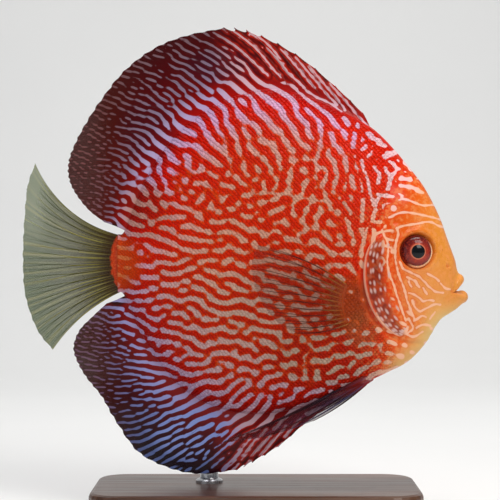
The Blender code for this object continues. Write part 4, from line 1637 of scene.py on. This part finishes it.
@dataclass
class Fin:
    """A fin: a thin web, and its rays as rods that fork towards the margin.

    Each key is the x and z of a ray's root and of its tip, and the ray's bulge.
    """

    name: str
    ray_count: int
    keys: tuple
    web: float = 0.11
    stem: float = 0.34
    per_ray: int = 8
    rows: int = 70
    fork_at: tuple[float, float] = (0.46, 0.74)
    forks: bool = True
    notch: float = 0.014
    root_flesh: float = 1.14
    taper: int = 7

    def ends(self, key: Array) -> tuple[Array, Array, Array]:
        """The rays' roots and tips in the side plane, and their bulges."""
        return key[..., 0:2], key[..., 2:4], key[..., 4]

    def aside(self, flat: Array, column: Array, t: Array, key: Array) -> Array:
        """The y of points, from their x and z, ray, place along it and the ray's key."""
        raise NotImplementedError

    def surface(self, column: Array, t: Array) -> Array:
        """The fin's middle surface.

        Args:
            column: Which ray, from 0 to one less than the count.
            t: How far along the ray, 0 at the root and 1 at the tip.

        Returns:
            Points in the fish's own frame.
        """
        key = spline(self.keys, (len(self.keys) - 1) * column / (self.ray_count - 1))
        root, tip, bulge = self.ends(key)
        way = tip - root
        across = np.stack([way[..., 1], -way[..., 0]], -1)
        flat = root + way * t[..., None] + across * (bulge * 4 * t * (1 - t))[..., None]
        return np.stack([flat[..., 0], self.aside(flat, column, t, key), flat[..., 1]], -1)

    def flesh(self, column: Array, t: Array) -> Array:
        """Half the web's thickness: the fleshy root tapers into it."""
        return self.web + self.root_flesh * (1 - t) ** self.taper

    def reach(self, column: Array) -> Array:
        """How far out the web goes at each column, 1 on a ray."""
        tuft = self.notch * (0.5 - 0.5 * np.cos(2 * np.pi * column))
        ragged = 0.006 * np.sin(17.3 * column) * np.sin(5.1 * column + 0.6)
        return 1 - tuft - np.abs(ragged)

    def sheet(self) -> tuple[Array, list, dict]:
        """The web's points, faces and attributes."""
        columns = np.linspace(0, self.ray_count - 1, (self.ray_count - 1) * self.per_ray + 1)
        column, part = np.meshgrid(columns, np.linspace(0, 1, self.rows + 1), indexing="ij")
        t = part * self.reach(column)
        middle = self.surface(column, t)
        lean = unit(np.cross(np.gradient(middle, axis=0), np.gradient(middle, axis=1)))
        lean *= (self.flesh(column, t) * (1 - 0.6 * rise(part, 0.93, 1)))[..., None]
        points, faces = slab(middle + lean, middle - lean)
        return points, faces, {"along": np.tile(t.ravel(), 2), "across": np.tile(column.ravel(), 2)}

    def line(self, ray: int, run: tuple, drift: tuple, radii: tuple, count: int) -> dict:
        """One run of a ray.

        Args:
            ray: The ray's column.
            run: Where it begins and ends along the ray.
            drift: How far off the ray's column it begins and ends.
            radii: Its radius where it begins and ends.
            count: Its number of points.

        Returns:
            The run as RayRods takes it.
        """
        s = np.linspace(0, 1, count)
        t = run[0] + (run[1] - run[0]) * s
        column = ray + drift[0] + (drift[1] - drift[0]) * (s * s * (3 - 2 * s))
        column = np.clip(column, 0, self.ray_count - 1)
        thick = radii[0] + (radii[1] - radii[0]) * s
        return {"points": self.surface(column, t), "thick": thick, "along": t, "across": column}

    def lines(self) -> list[dict]:
        """Every ray's runs: a stem, two branches and four twigs, or one spine."""
        runs = []
        first, second = self.fork_at
        for ray in range(self.ray_count):
            size = self.stem * (1 + 0.08 * math.sin(2.7 * ray))
            if not self.forks:
                runs.append(self.line(ray, (0, 1), (0, 0), (size, 0.25 * size), 20))
                continue
            runs.append(self.line(ray, (0, first), (0, 0), (size, 0.62 * size), 14))
            for side in (-1, 1):
                spread, radii = (0.02 * side, 0.21 * side), (0.5 * size, 0.38 * size)
                runs.append(self.line(ray, (first - 0.02, second), spread, radii, 9))
                for twig in (-1, 1):
                    spread = (0.21 * side + 0.01 * twig, 0.22 * side + 0.11 * twig)
                    tip = 0.995 - 0.012 * abs(math.sin(3.1 * ray + side + twig))
                    radii = (0.32 * size, 0.15 * size)
                    runs.append(self.line(ray, (second - 0.02, tip), spread, radii, 8))
        return runs


@dataclass
class EdgeFin(Fin):
    """A stretch of the dorsal or anal fin, on the body's edge.

    Each key is the station of a ray's root, the tip's x and z, and the ray's bulge.
    """

    form: BodyForm | None = None
    edge: Edge = Edge.UPPER
    sunk: float = 1.3
    ripple: float = 0.35

    def ends(self, key: Array) -> tuple[Array, Array, Array]:
        """The rays' roots inside the skin, their tips and their bulges.

        Args:
            key: The rays' keys.

        Returns:
            All three, in the side plane.
        """
        behind, root, ahead = (
            self.form.edge_point(key[..., 0] + step, self.edge) for step in (-0.01, 0, 0.01)
        )
        run = unit(ahead - behind)
        normal = np.stack([-run[..., 1], run[..., 0]], -1) * self.edge.value
        return root - normal * self.sunk, key[..., 1:3], self.edge.value * key[..., 3]

    def aside(self, flat: Array, column: Array, t: Array, key: Array) -> Array:
        """A slight ripple, growing towards the tips."""
        return self.ripple * np.sin(0.8 * column + 1.9) * t**2


@dataclass
class SpinyFin(EdgeFin):
    """The front of an unpaired fin, stiff spines with the web cut in behind each tip."""

    forks: bool = False
    stem: float = 0.62
    notch: float = 0.07

    def reach(self, column: Array) -> Array:
        """The web's reach: highest behind the spine ahead, lowest before the next."""
        part = column - np.floor(column)
        return 0.985 - self.notch * (np.sin(np.pi * part) * (0.55 + 0.45 * part))


@dataclass
class TailFin(Fin):
    """The tail fin, its upper corner curled to the viewer: each key ends with its tip's curl."""

    root_flesh: float = 2.0
    taper: int = 12

    def aside(self, flat: Array, column: Array, t: Array, key: Array) -> Array:
        """The curl and a slight ripple."""
        return key[..., 5] * rise(t, 0.45, 1) + 0.25 * np.sin(1.1 * column) * t**2

    def flesh(self, column: Array, t: Array) -> Array:
        """Half the web's thickness: the fleshy root fills the end of the stalk."""
        off = (column - (self.ray_count - 1) / 2) / (self.ray_count / 2)
        root = self.root_flesh * np.sqrt(np.clip(1 - off**2, 0.02, 1))
        return self.web + root * (1 - t) ** self.taper


@dataclass
class PairedFin(Fin):
    """A pectoral or pelvic fin beside the body."""

    side: Side = Side.RIGHT
    skin: Skin | None = None
    root_flesh: float = 0.9
    taper: int = 9

    def stand_off(self, flank: Array, t: Array) -> Array:
        """How far out the fin is, beside a flank of some half thickness."""
        raise NotImplementedError

    def aside(self, flat: Array, column: Array, t: Array, key: Array) -> Array:
        """The stand-off from the middle plane, on the fin's own side."""
        found = [self.skin.touch(float(x), float(z), self.side) for x, z in flat.reshape(-1, 2)]
        flank = np.array([hit[0] if hit else 0.0 for hit in found]).reshape(t.shape)
        return self.side.value * self.stand_off(flank, t)


@dataclass
class PectoralFin(PairedFin):
    """The clear fin behind the gill cover, swung a little out from the flank."""

    outward: float = 9.0

    def stand_off(self, flank: Array, t: Array) -> Array:
        """On the flank at the root, then swung outward."""
        swing = self.outward * rise(t, 0.1, 1.3) * 1.4
        return flank + 0.9 - 2.2 * (1 - rise(t, 0, 0.16)) + swing


@dataclass
class PelvicFin(PairedFin):
    """The narrow fin below the belly, drawn out to a filament."""

    plane: float = 4.4
    outward: float = 4.2
    root_plane: float = 1.2

    def stand_off(self, flank: Array, t: Array) -> Array:
        """From the keel of the belly out to the fin's own plane, clear of the flank."""
        free = self.plane + self.outward * rise(t, 0, 1)
        out = np.maximum(free, np.where(flank > 0, flank + 0.75, 0.0))
        return self.root_plane + (out - self.root_plane) * rise(t, 0, 0.1)


@dataclass
class Fins:
    """All the fins, with the measured rays that the solids have.

    The first six dorsal keys and the first five anal ones are for the spines, and the last of
    each is also the first for the soft rays.
    """

    form: BodyForm
    skin: Skin
    marks: Markings
    paint: FishPaint
    dorsal: tuple = (
        (9.92, 44.7, 54.4, 0.02), (9.5, 35.5, 63.4, 0.03), (9, 21.8, 75, 0.04),
        (8.4, 9.6, 82.3, 0.05), (7.8, -0.8, 86.3, 0.06), (7.4, -8.4, 86.9, 0.07),
        (6.7, -23, 83.8, 0.09), (6.1, -35.3, 78.9, 0.1), (5.5, -46.6, 70.4, 0.1),
        (4.9, -55.6, 59, 0.1), (4.3, -62.6, 48, 0.09), (3.7, -66.8, 39.2, 0.08),
        (3.1, -68, 33.2, 0.06), (2.6, -67.2, 27.6, 0.05), (2.1, -64.4, 22.4, 0.04),
        (1.6, -59.6, 16.8, 0.03), (1.12, -54, 12.6, 0.02),
    )
    anal: tuple = (
        (8.75, 29.2, -59.6, 0.02), (8.3, 21.6, -65.3, 0.03), (7.8, 12.4, -73.3, 0.04),
        (7.3, 2.5, -79.4, 0.05), (7, -3.4, -82.2, 0.06), (6.4, -17, -83.7, 0.08),
        (5.8, -29, -81.6, 0.09), (5.2, -41.2, -75.4, 0.1), (4.6, -49.8, -63.4, 0.09),
        (4.1, -55.2, -54, 0.08), (3.6, -60.9, -47, 0.07), (3.1, -64.4, -40.9, 0.05),
        (2.6, -65.9, -35.1, 0.04), (2.1, -63.6, -28.7, 0.03), (1.6, -58.3, -23.3, 0.02),
        (1.12, -53.2, -18.6, 0.02),
    )
    tail_rays: tuple = (
        (-46.6, 7, -79.6, 34.8, -0.13, -6.5), (-46.6, 5.2, -82.6, 26.4, -0.1, -6),
        (-46.6, 2.7, -84, 15.2, -0.06, -3.6), (-46.6, -0.2, -84.9, 4.6, -0.02, -1.4),
        (-46.6, -3.1, -85.2, -5, 0, 0), (-46.6, -5.9, -84.6, -14.1, 0.01, 0.6),
        (-46.6, -8.6, -82.4, -22.6, 0.03, 1.2), (-46.6, -11.2, -79, -30.4, 0.05, 1.8),
        (-46.6, -13.3, -74, -36.4, 0.07, 2.4),
    )
    pectoral_rays: tuple = (
        (40.2, -13, 4.4, 3.6, 0.06), (39.6, -14.6, 2.5, -0.8, 0.05),
        (39.2, -16.3, 2.1, -5.8, 0.03), (39, -18.1, 2.9, -10.8, 0.01),
        (39, -19.9, 4.9, -15.8, -0.01), (39.2, -21.7, 8, -20.7, -0.03),
        (39.6, -23.3, 12.6, -25.3, -0.05), (40.2, -24.8, 18.6, -28.8, -0.07),
    )
    pelvic_rays: tuple = (
        (48.6, -43.9, 5.5, -65, -0.01), (48.8, -44.8, -8.6, -70.6, -0.02),
        (48.6, -45.8, 7, -68.6, -0.03), (48.2, -46.7, 17.8, -65.4, -0.035),
        (47.6, -47.4, 25.4, -62.6, -0.04),
    )

    def __post_init__(self) -> None:
        """Mixes the fins' finishes, for each kind of fin its web's and its rays'."""
        self.rods = RayRods()
        olive = tint(168, 160, 84)
        finishes = (
            FinFinish("fin_web", self.paint, 0.82), FinFinish("fin_ray", self.paint, 0.9, 0.25),
            TailFinish("tail_web", tint(58, 34, 16), tint(74, 68, 22), tint(74, 96, 44), 0.97,
                       0.6, olive, 0.5),
            TailFinish("tail_ray", tint(56, 34, 16), tint(72, 66, 24), tint(66, 84, 40), 1.0,
                       0.9, olive, 0.6),
            ClearFinish("pectoral_web", tint(178, 70, 22), tint(120, 34, 10), tint(120, 40, 20),
                        0.85, 0.13, tint(236, 170, 120), clear_by=0.26),
            ClearFinish("pectoral_ray", tint(196, 140, 62), tint(64, 20, 10), tint(26, 14, 12),
                        1.0, 1.0, tint(60, 24, 16)),
            ClearFinish("pelvic_web", tint(150, 30, 12), tint(50, 22, 34), tint(84, 18, 20), 1.0,
                        0.42, tint(74, 78, 118), 0.35),
            ClearFinish("pelvic_ray", tint(130, 26, 12), tint(36, 16, 26), tint(62, 14, 18), 1.0,
                        1.0, tint(84, 88, 130), 0.4),
        )
        made = [finish.material() for finish in finishes]
        self.edge_looks, self.tail_looks, self.side_looks, self.keel_looks = (
            made[i:i + 2] for i in range(0, len(made), 2)
        )

    def _build_one(self, fin: Fin, looks: list[Material], slot: str, *nodes: str) -> None:
        """Builds a fin's web and rods, with their marks.

        Args:
            fin: The fin.
            looks: The web's material and the rods'.
            slot: Their slot.
            nodes: The solids that they stand for.
        """
        points, faces, extra = fin.sheet()
        sheet = make_piece(fin.name + "_web", points, faces, looks[0], extra)
        self.marks.paint(sheet)
        attach(sheet, slot, *nodes)
        rods = self.rods.build(fin.name + "_rays", fin.lines(), looks[1])
        self.marks.paint(rods)
        attach(rods, slot)

    def build(self) -> None:
        """Builds every fin."""
        upper, lower = (dict(form=self.form, edge=edge) for edge in Edge)
        for fin, node in (
            (SpinyFin("dorsal_spines", 10, self.dorsal[:6], **upper), "dorsal_fin_spines"),
            (EdgeFin("dorsal_soft", 30, self.dorsal[5:], **upper), "dorsal_fin_rays"),
            (SpinyFin("anal_spines", 9, self.anal[:5], **lower), "anal_fin_spines"),
            (EdgeFin("anal_soft", 29, self.anal[4:], **lower), "anal_fin_rays"),
        ):
            self._build_one(fin, self.edge_looks, "fin", node)
        tail = TailFin("tail", 15, self.tail_rays, per_ray=10, notch=0.006, stem=0.3)
        self._build_one(tail, self.tail_looks, "clear_fin", "caudal_fin")
        for side in Side:
            pectoral = PectoralFin(
                "pectoral_" + side.word, 12, self.pectoral_rays, stem=0.27, web=0.07, rows=36,
                per_ray=4, fork_at=(0.5, 0.8), side=side, skin=self.skin,
            )
            self._build_one(pectoral, self.side_looks, "clear_fin", "pectoral_fin_" + side.word)
            pelvic = PelvicFin(
                "pelvic_" + side.word, 5, self.pelvic_rays, stem=0.42, web=0.12, rows=60,
                per_ray=5, forks=False, side=side, skin=self.skin,
            )
            self._build_one(pelvic, self.keel_looks, "fin", "pelvic_fin_" + side.word)


@dataclass
class GillCover:
    """A gill cover: a plate that rises out of the cheek to a free rear edge.

    Each of its files of dots is how far it lies from the rear edge, and its count.
    """

    skin: Skin
    marks: Markings
    finish: Material
    columns: int = 120
    rows: int = 56
    height: float = 1.25
    files: tuple = ((0.16, 12), (0.29, 12), (0.42, 10), (0.56, 6), (0.74, 4))
    rear: tuple = (
        (49, 7.2), (45.4, 2), (44, -5), (44.4, -12), (46.6, -19.2), (50.3, -25.2), (54.9, -29.2),
        (59.2, -31.1),
    )
    front: tuple = (
        (52.6, 8.6), (55.6, 4.4), (57.2, -2.4), (57.9, -9.8), (59, -16.6), (60.9, -22.6),
        (62.2, -27.6), (61.8, -31),
    )

    def _dots(self, x: Array, z: Array) -> Array:
        """The small pale dots, in uneven files down the plate.

        Args:
            x: The plate's x.
            z: The plate's z.

        Returns:
            1 on a dot and 0 off it.
        """
        chance = np.random.default_rng(17)
        shown = np.zeros(x.shape)
        for file, count in self.files:
            for i in range(count):
                t = 0.8 + 6.0 * (i + 0.35 * (file > 0.5) + chance.uniform(-0.2, 0.2)) / count
                s = file + chance.uniform(-0.05, 0.05)
                near, ahead = spline(self.rear, t), spline(self.front, t)
                spot = near + (ahead - near) * s
                step = unit(spline(self.rear, t + 0.05) - near)
                dx, dz = x - spot[0], z - spot[1]
                along = dx * step[0] + dz * step[1]
                aside = dx * step[1] - dz * step[0]
                far = np.hypot(along / chance.uniform(1.6, 2.9), aside)
                size = chance.uniform(0.32, 0.46)
                shown = np.maximum(shown, 1 - rise(far, size - 0.2, size + 0.2))
        return shown

    def build(self, side: Side) -> None:
        """Builds one gill cover.

        Args:
            side: The flank.
        """
        last = len(self.rear) - 1
        t = np.linspace(0, last, self.columns + 1)[:, None]
        s = np.linspace(0, 1, self.rows + 1)[None, :]
        near, ahead = spline(self.rear, t[:, 0])[:, None], spline(self.front, t[:, 0])[:, None]
        x, z = np.moveaxis(near + (ahead - near) * s[..., None], -1, 0)
        touched = [self.skin.touch(float(a), float(b), side)[0] for a, b in zip(x.flat, z.flat)]
        base = np.array(touched).reshape(x.shape)
        base += 0.45 * bell(distance_to(Skin.gill_slit, x, z), 0.7)
        ends = np.sin(np.pi * (t / last)) ** 0.45
        crown = self.height * (1 - rise(s, 0.42, 0.98)) - 0.5 * rise(s, 0.8, 1)
        crown = crown * ends - 0.3 * (1 - ends)
        lip = 0.42 * (1 - rise(s, 0, 0.05)) ** 2
        outer = base + crown - lip + 0.1 * np.sin(3.2 * t + 2.0) * np.sin(np.pi * s)
        inner = np.minimum(base + 0.25, outer - 0.25)
        points, faces = slab(*(np.stack([x, side.value * y, z], -1) for y in (outer, inner)))
        tall = t / last
        rim = (1 - rise(s, 0.03, 0.075)) * rise(tall, 0, 0.05)
        dark = rise(s, 0.06, 0.13) * (1 - rise(s, 0.4, 0.72)) * rise(tall, 0.02, 0.12)
        dark = dark * (1 - rise(tall, 0.86, 1))
        dot = self._dots(x, z) * rise(s, 0.05, 0.12)
        extra = {"inner": dark * 0.9, "rim": rim * 0.85, "dot": dot}
        extra = {name: np.tile(values.ravel(), 2) for name, values in extra.items()}
        node = "gill_cover_" + side.word
        piece = make_piece(node + "_plate", points, faces, self.finish, extra, 60)
        self.marks.paint(piece)
        attach(piece, "face", node)


@dataclass
class Eye:
    """An eye: a flattened ball with a raised lens, set in its socket."""

    form: BodyForm
    finish: Material
    radius: float = 6.3
    depth: float = 4.3
    lens: float = 2.5
    lens_height: float = 0.3
    turns: int = 72
    rings: int = 40
    slope_reach: float = 4.0

    def _outward(self, side: Side, x: float, z: float) -> Vector:
        """The way that the eye faces, from the slopes of the plain head round it.

        Args:
            side: The flank.
            x: The eye's x.
            z: The eye's z.

        Returns:
            The way, of length 1.
        """
        head = np.meshgrid(np.linspace(10, 14.8, 60), np.linspace(0.02, 0.98, 60), indexing="ij")
        at_x, half, at_z = (values.reshape(-1, 1) for values in self.form.section(*head))
        along, up = self.slope_reach * np.array([[1, -1, 0, 0], [0, 0, 1, -1]])
        nearest = np.argmin((at_x - x - along) ** 2 + (at_z - z - up) ** 2, axis=0)
        ahead, behind, above, below = half[nearest, 0] / (4 * self.slope_reach)
        return Vector((behind - ahead, side.value, below - above)).normalized()

    def build(self, side: Side) -> None:
        """Builds one eye.

        Args:
            side: The flank.
        """
        node = "eye_" + side.word
        low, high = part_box(node)
        centre = np.array((low + high) / 2) / MM - (0, 0, MIDLINE_HEIGHT)
        out = self._outward(side, centre[0], centre[2])
        right = Vector((1, 0, 0))
        right = (right - out * right.dot(out)).normalized()
        up = right.cross(out)
        up = up if up.z > 0 else -up
        polar = np.linspace(0, np.pi, self.rings + 1)[1:-1]
        turn = np.arange(self.turns) * 2 * np.pi / self.turns
        lean, spin = np.meshgrid(polar, turn, indexing="ij")
        r = self.radius * np.sin(lean)
        h = self.depth * np.cos(lean)
        ahead = h > 0
        raised = self.lens_height * np.exp(-((r / self.lens) ** 4)) - 0.14 * bell(r - 3.4, 0.7)
        h = h + np.where(ahead, raised, 0)
        axes = np.array([right, up, out])
        body = np.stack([r * np.cos(spin), r * np.sin(spin), h], -1) @ axes + centre
        tips = self.depth + np.array([[self.lens_height], [0.0]])
        poles = np.array([out, -out]) * tips + centre
        points = np.concatenate([body.reshape(-1, 3), poles])
        from_pupil = np.append(np.where(ahead, r, self.radius), [0, self.radius])
        around = np.append(np.cos(spin - math.radians(135)), [0, 0])
        extra = {"from_pupil": from_pupil, "around": around}
        faces = tube(len(polar), self.turns)
        attach(make_piece(node + "_ball", points, faces, self.finish, extra, 80), "eye", node)


@dataclass
class Stand:
    """The stand's own nodes, with a collar at the rod's foot and a soft pad at its top.

    The collar's profile is radii and heights over the base, with 0 for the rod's own radius, and
    the pad's is how far it stands out of the rod and lies below its top.
    """

    steel: Material
    turns: int = 48
    slack: float = 0.03
    collar: tuple = (
        (0, 0.02), (5.2, 0.02), (5.2, 0.9), (4.8, 1.3), (3.8, 1.7), (3.5, 2.2), (3.5, 3.8),
        (3.1, 4.2), (0, 4.2),
    )
    pad: tuple = ((0, 9.2), (0.7, 9.2), (0.9, 8.6), (0.9, 6.8), (0.5, 6.2), (0, 6.2))

    def turned(self, name: str, profile: list, middle: Vector, finish: Material) -> None:
        """Turns a closed ring round the rod.

        Args:
            name: The piece's name.
            profile: Its radii and heights.
            middle: The rod's middle.
            finish: Its material.
        """
        count = len(profile)
        points, faces = [], []
        for i in range(self.turns):
            a = 2 * math.pi * i / self.turns
            k = (i + 1) % self.turns
            for j, (radius, height) in enumerate(profile):
                x, y = middle.x + radius * math.cos(a), middle.y + radius * math.sin(a)
                points.append((x, y, height - MIDLINE_HEIGHT))
                m = (j + 1) % count
                faces.append((i * count + j, k * count + j, k * count + m, i * count + m))
        piece = make_piece(name, np.array(points), faces, finish, sharp_angle=35)
        attach(piece, "stand_steel")

    def build(self) -> None:
        """Gives the base and the rod their finishes, and builds the collar and the pad."""
        for node, finish in (("stand_base", WalnutFinish().material()), ("stand_rod", self.steel)):
            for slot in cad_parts[node].material_slots:
                slot.material = finish
            log.info("%s: dressed", node)
        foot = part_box("stand_base")[1].z / MM
        low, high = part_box("stand_rod")
        inner = (high.x - low.x) / 2 / MM + self.slack
        middle, crest = (low + high) / 2 / MM, high.z / MM
        collar = [(max(inner, radius), foot + height) for radius, height in self.collar]
        pad = [(inner + out, crest - depth) for out, depth in self.pad]
        self.turned("rod_collar", collar, middle, self.steel)
        self.turned("rod_pad", pad, middle, PadFinish().material())


@dataclass
class Studio:
    """A pale sweep of paper, soft lights and the camera at the photograph's place.

    Each light is a name, its place and what it is aimed at in metres, its size, its power and
    its colour.
    """

    frame_width: float = 191.0
    frame_centre: tuple = (1.72, 99.6)
    distance: float = 640.0
    sensor: float = 36.0
    room: tuple = (0.93, 0.95, 1.0, 1.0)
    room_strength: float = 0.2
    fish: tuple = (0.0, 0.0, MIDLINE_HEIGHT * MM)
    lights: tuple = (
        ("key", (0.34, -0.5, 0.6), fish, 0.4, 3.3, (1.0, 0.97, 0.93)),
        ("fill", (-0.8, -0.75, 0.25), fish, 0.8, 1.2, (0.95, 0.97, 1.0)),
        ("top", (0.05, 0.05, 0.95), fish, 0.6, 3.5, (1.0, 1.0, 1.0)),
        ("wash", (0.0, 0.25, 1.4), (0.0, 1.1, 0.25), 1.0, 9.0, (1.0, 1.0, 1.0)),
    )

    def build(self) -> None:
        """Sets up the studio."""
        bpy.context.scene.view_settings.view_transform = "Standard"
        self._sweep()
        for name, at, to, size, power, colour in self.lights:
            lamp = bpy.data.lights.new(name, "AREA")
            lamp.shape = "SQUARE"
            lamp.size, lamp.energy, lamp.color = size, power, colour
            holder = linked(name, lamp)
            holder.location = at
            holder.rotation_euler = (Vector(to) - Vector(at)).to_track_quat("-Z", "Y").to_euler()
        world = bpy.context.scene.world = bpy.data.worlds.new("room")
        world.use_nodes = True
        glow = world.node_tree.nodes["Background"].inputs
        glow["Color"].default_value, glow["Strength"].default_value = self.room, self.room_strength
        self._camera()

    def _sweep(self) -> None:
        """A floor that curves up into a backdrop."""
        wide, front, back, bend, tall = 2.4, -1.6, 1.1, 0.5, 1.6
        line = [(front, 0.0), (back - bend, 0.0)]
        for i in range(1, 13):
            a = math.pi / 2 * i / 12
            line.append((back - bend + bend * math.sin(a), bend - bend * math.cos(a)))
        line.append((back, tall))
        points = [(x, y, z) for y, z in line for x in (-wide, wide)]
        faces = [(2 * i, 2 * i + 1, 2 * i + 3, 2 * i + 2) for i in range(len(line) - 1)]
        mesh = new_mesh("sweep", points, faces=faces)
        mesh.shade_smooth()
        mesh.materials.append(PaperFinish().material())
        linked("sweep", mesh)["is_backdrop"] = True

    def _camera(self) -> None:
        """A level camera, square to the fish's right flank."""
        lens = bpy.data.cameras.new("camera")
        lens.sensor_width = self.sensor
        lens.lens = self.sensor * self.distance / self.frame_width
        lens.clip_start, lens.clip_end = 0.01, 20
        camera = bpy.context.scene.camera = linked("camera", lens)
        x, z = self.frame_centre
        camera.location = (x * MM, -self.distance * MM, z * MM)
        camera.rotation_euler = (math.pi / 2, 0, 0)


def keep_sizes() -> None:
    """Measures the solids' box and the dressed model's box as plain lists, and keeps neither."""
    boxes = {"cad": CAD_BOX, "visual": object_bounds()}
    plain = {name: [[float(v) for v in corner] for corner in box] for name, box in boxes.items()}


def main() -> None:
    """Builds the fish, its stand and the studio."""
    logging.basicConfig(level=logging.INFO, format="%(name)s: %(message)s")
    Studio().build()
    form = BodyForm()
    paint = FishPaint()
    marks = Markings(form)
    skin = Skin(form)
    skin.build(SkinFinish(paint).material(), marks)
    coat = ScaleCoat(skin, marks, ScaleFinish(paint).material())
    cover = GillCover(skin, marks, CoverFinish(paint).material())
    eye = Eye(form, EyeFinish().material())
    for side in Side:
        coat.build(side)
        cover.build(side)
        eye.build(side)
    Fins(form, skin, marks, paint).build()
    Stand(SteelFinish().material()).build()
    keep_sizes()


if __name__ == "__main__":
    main()
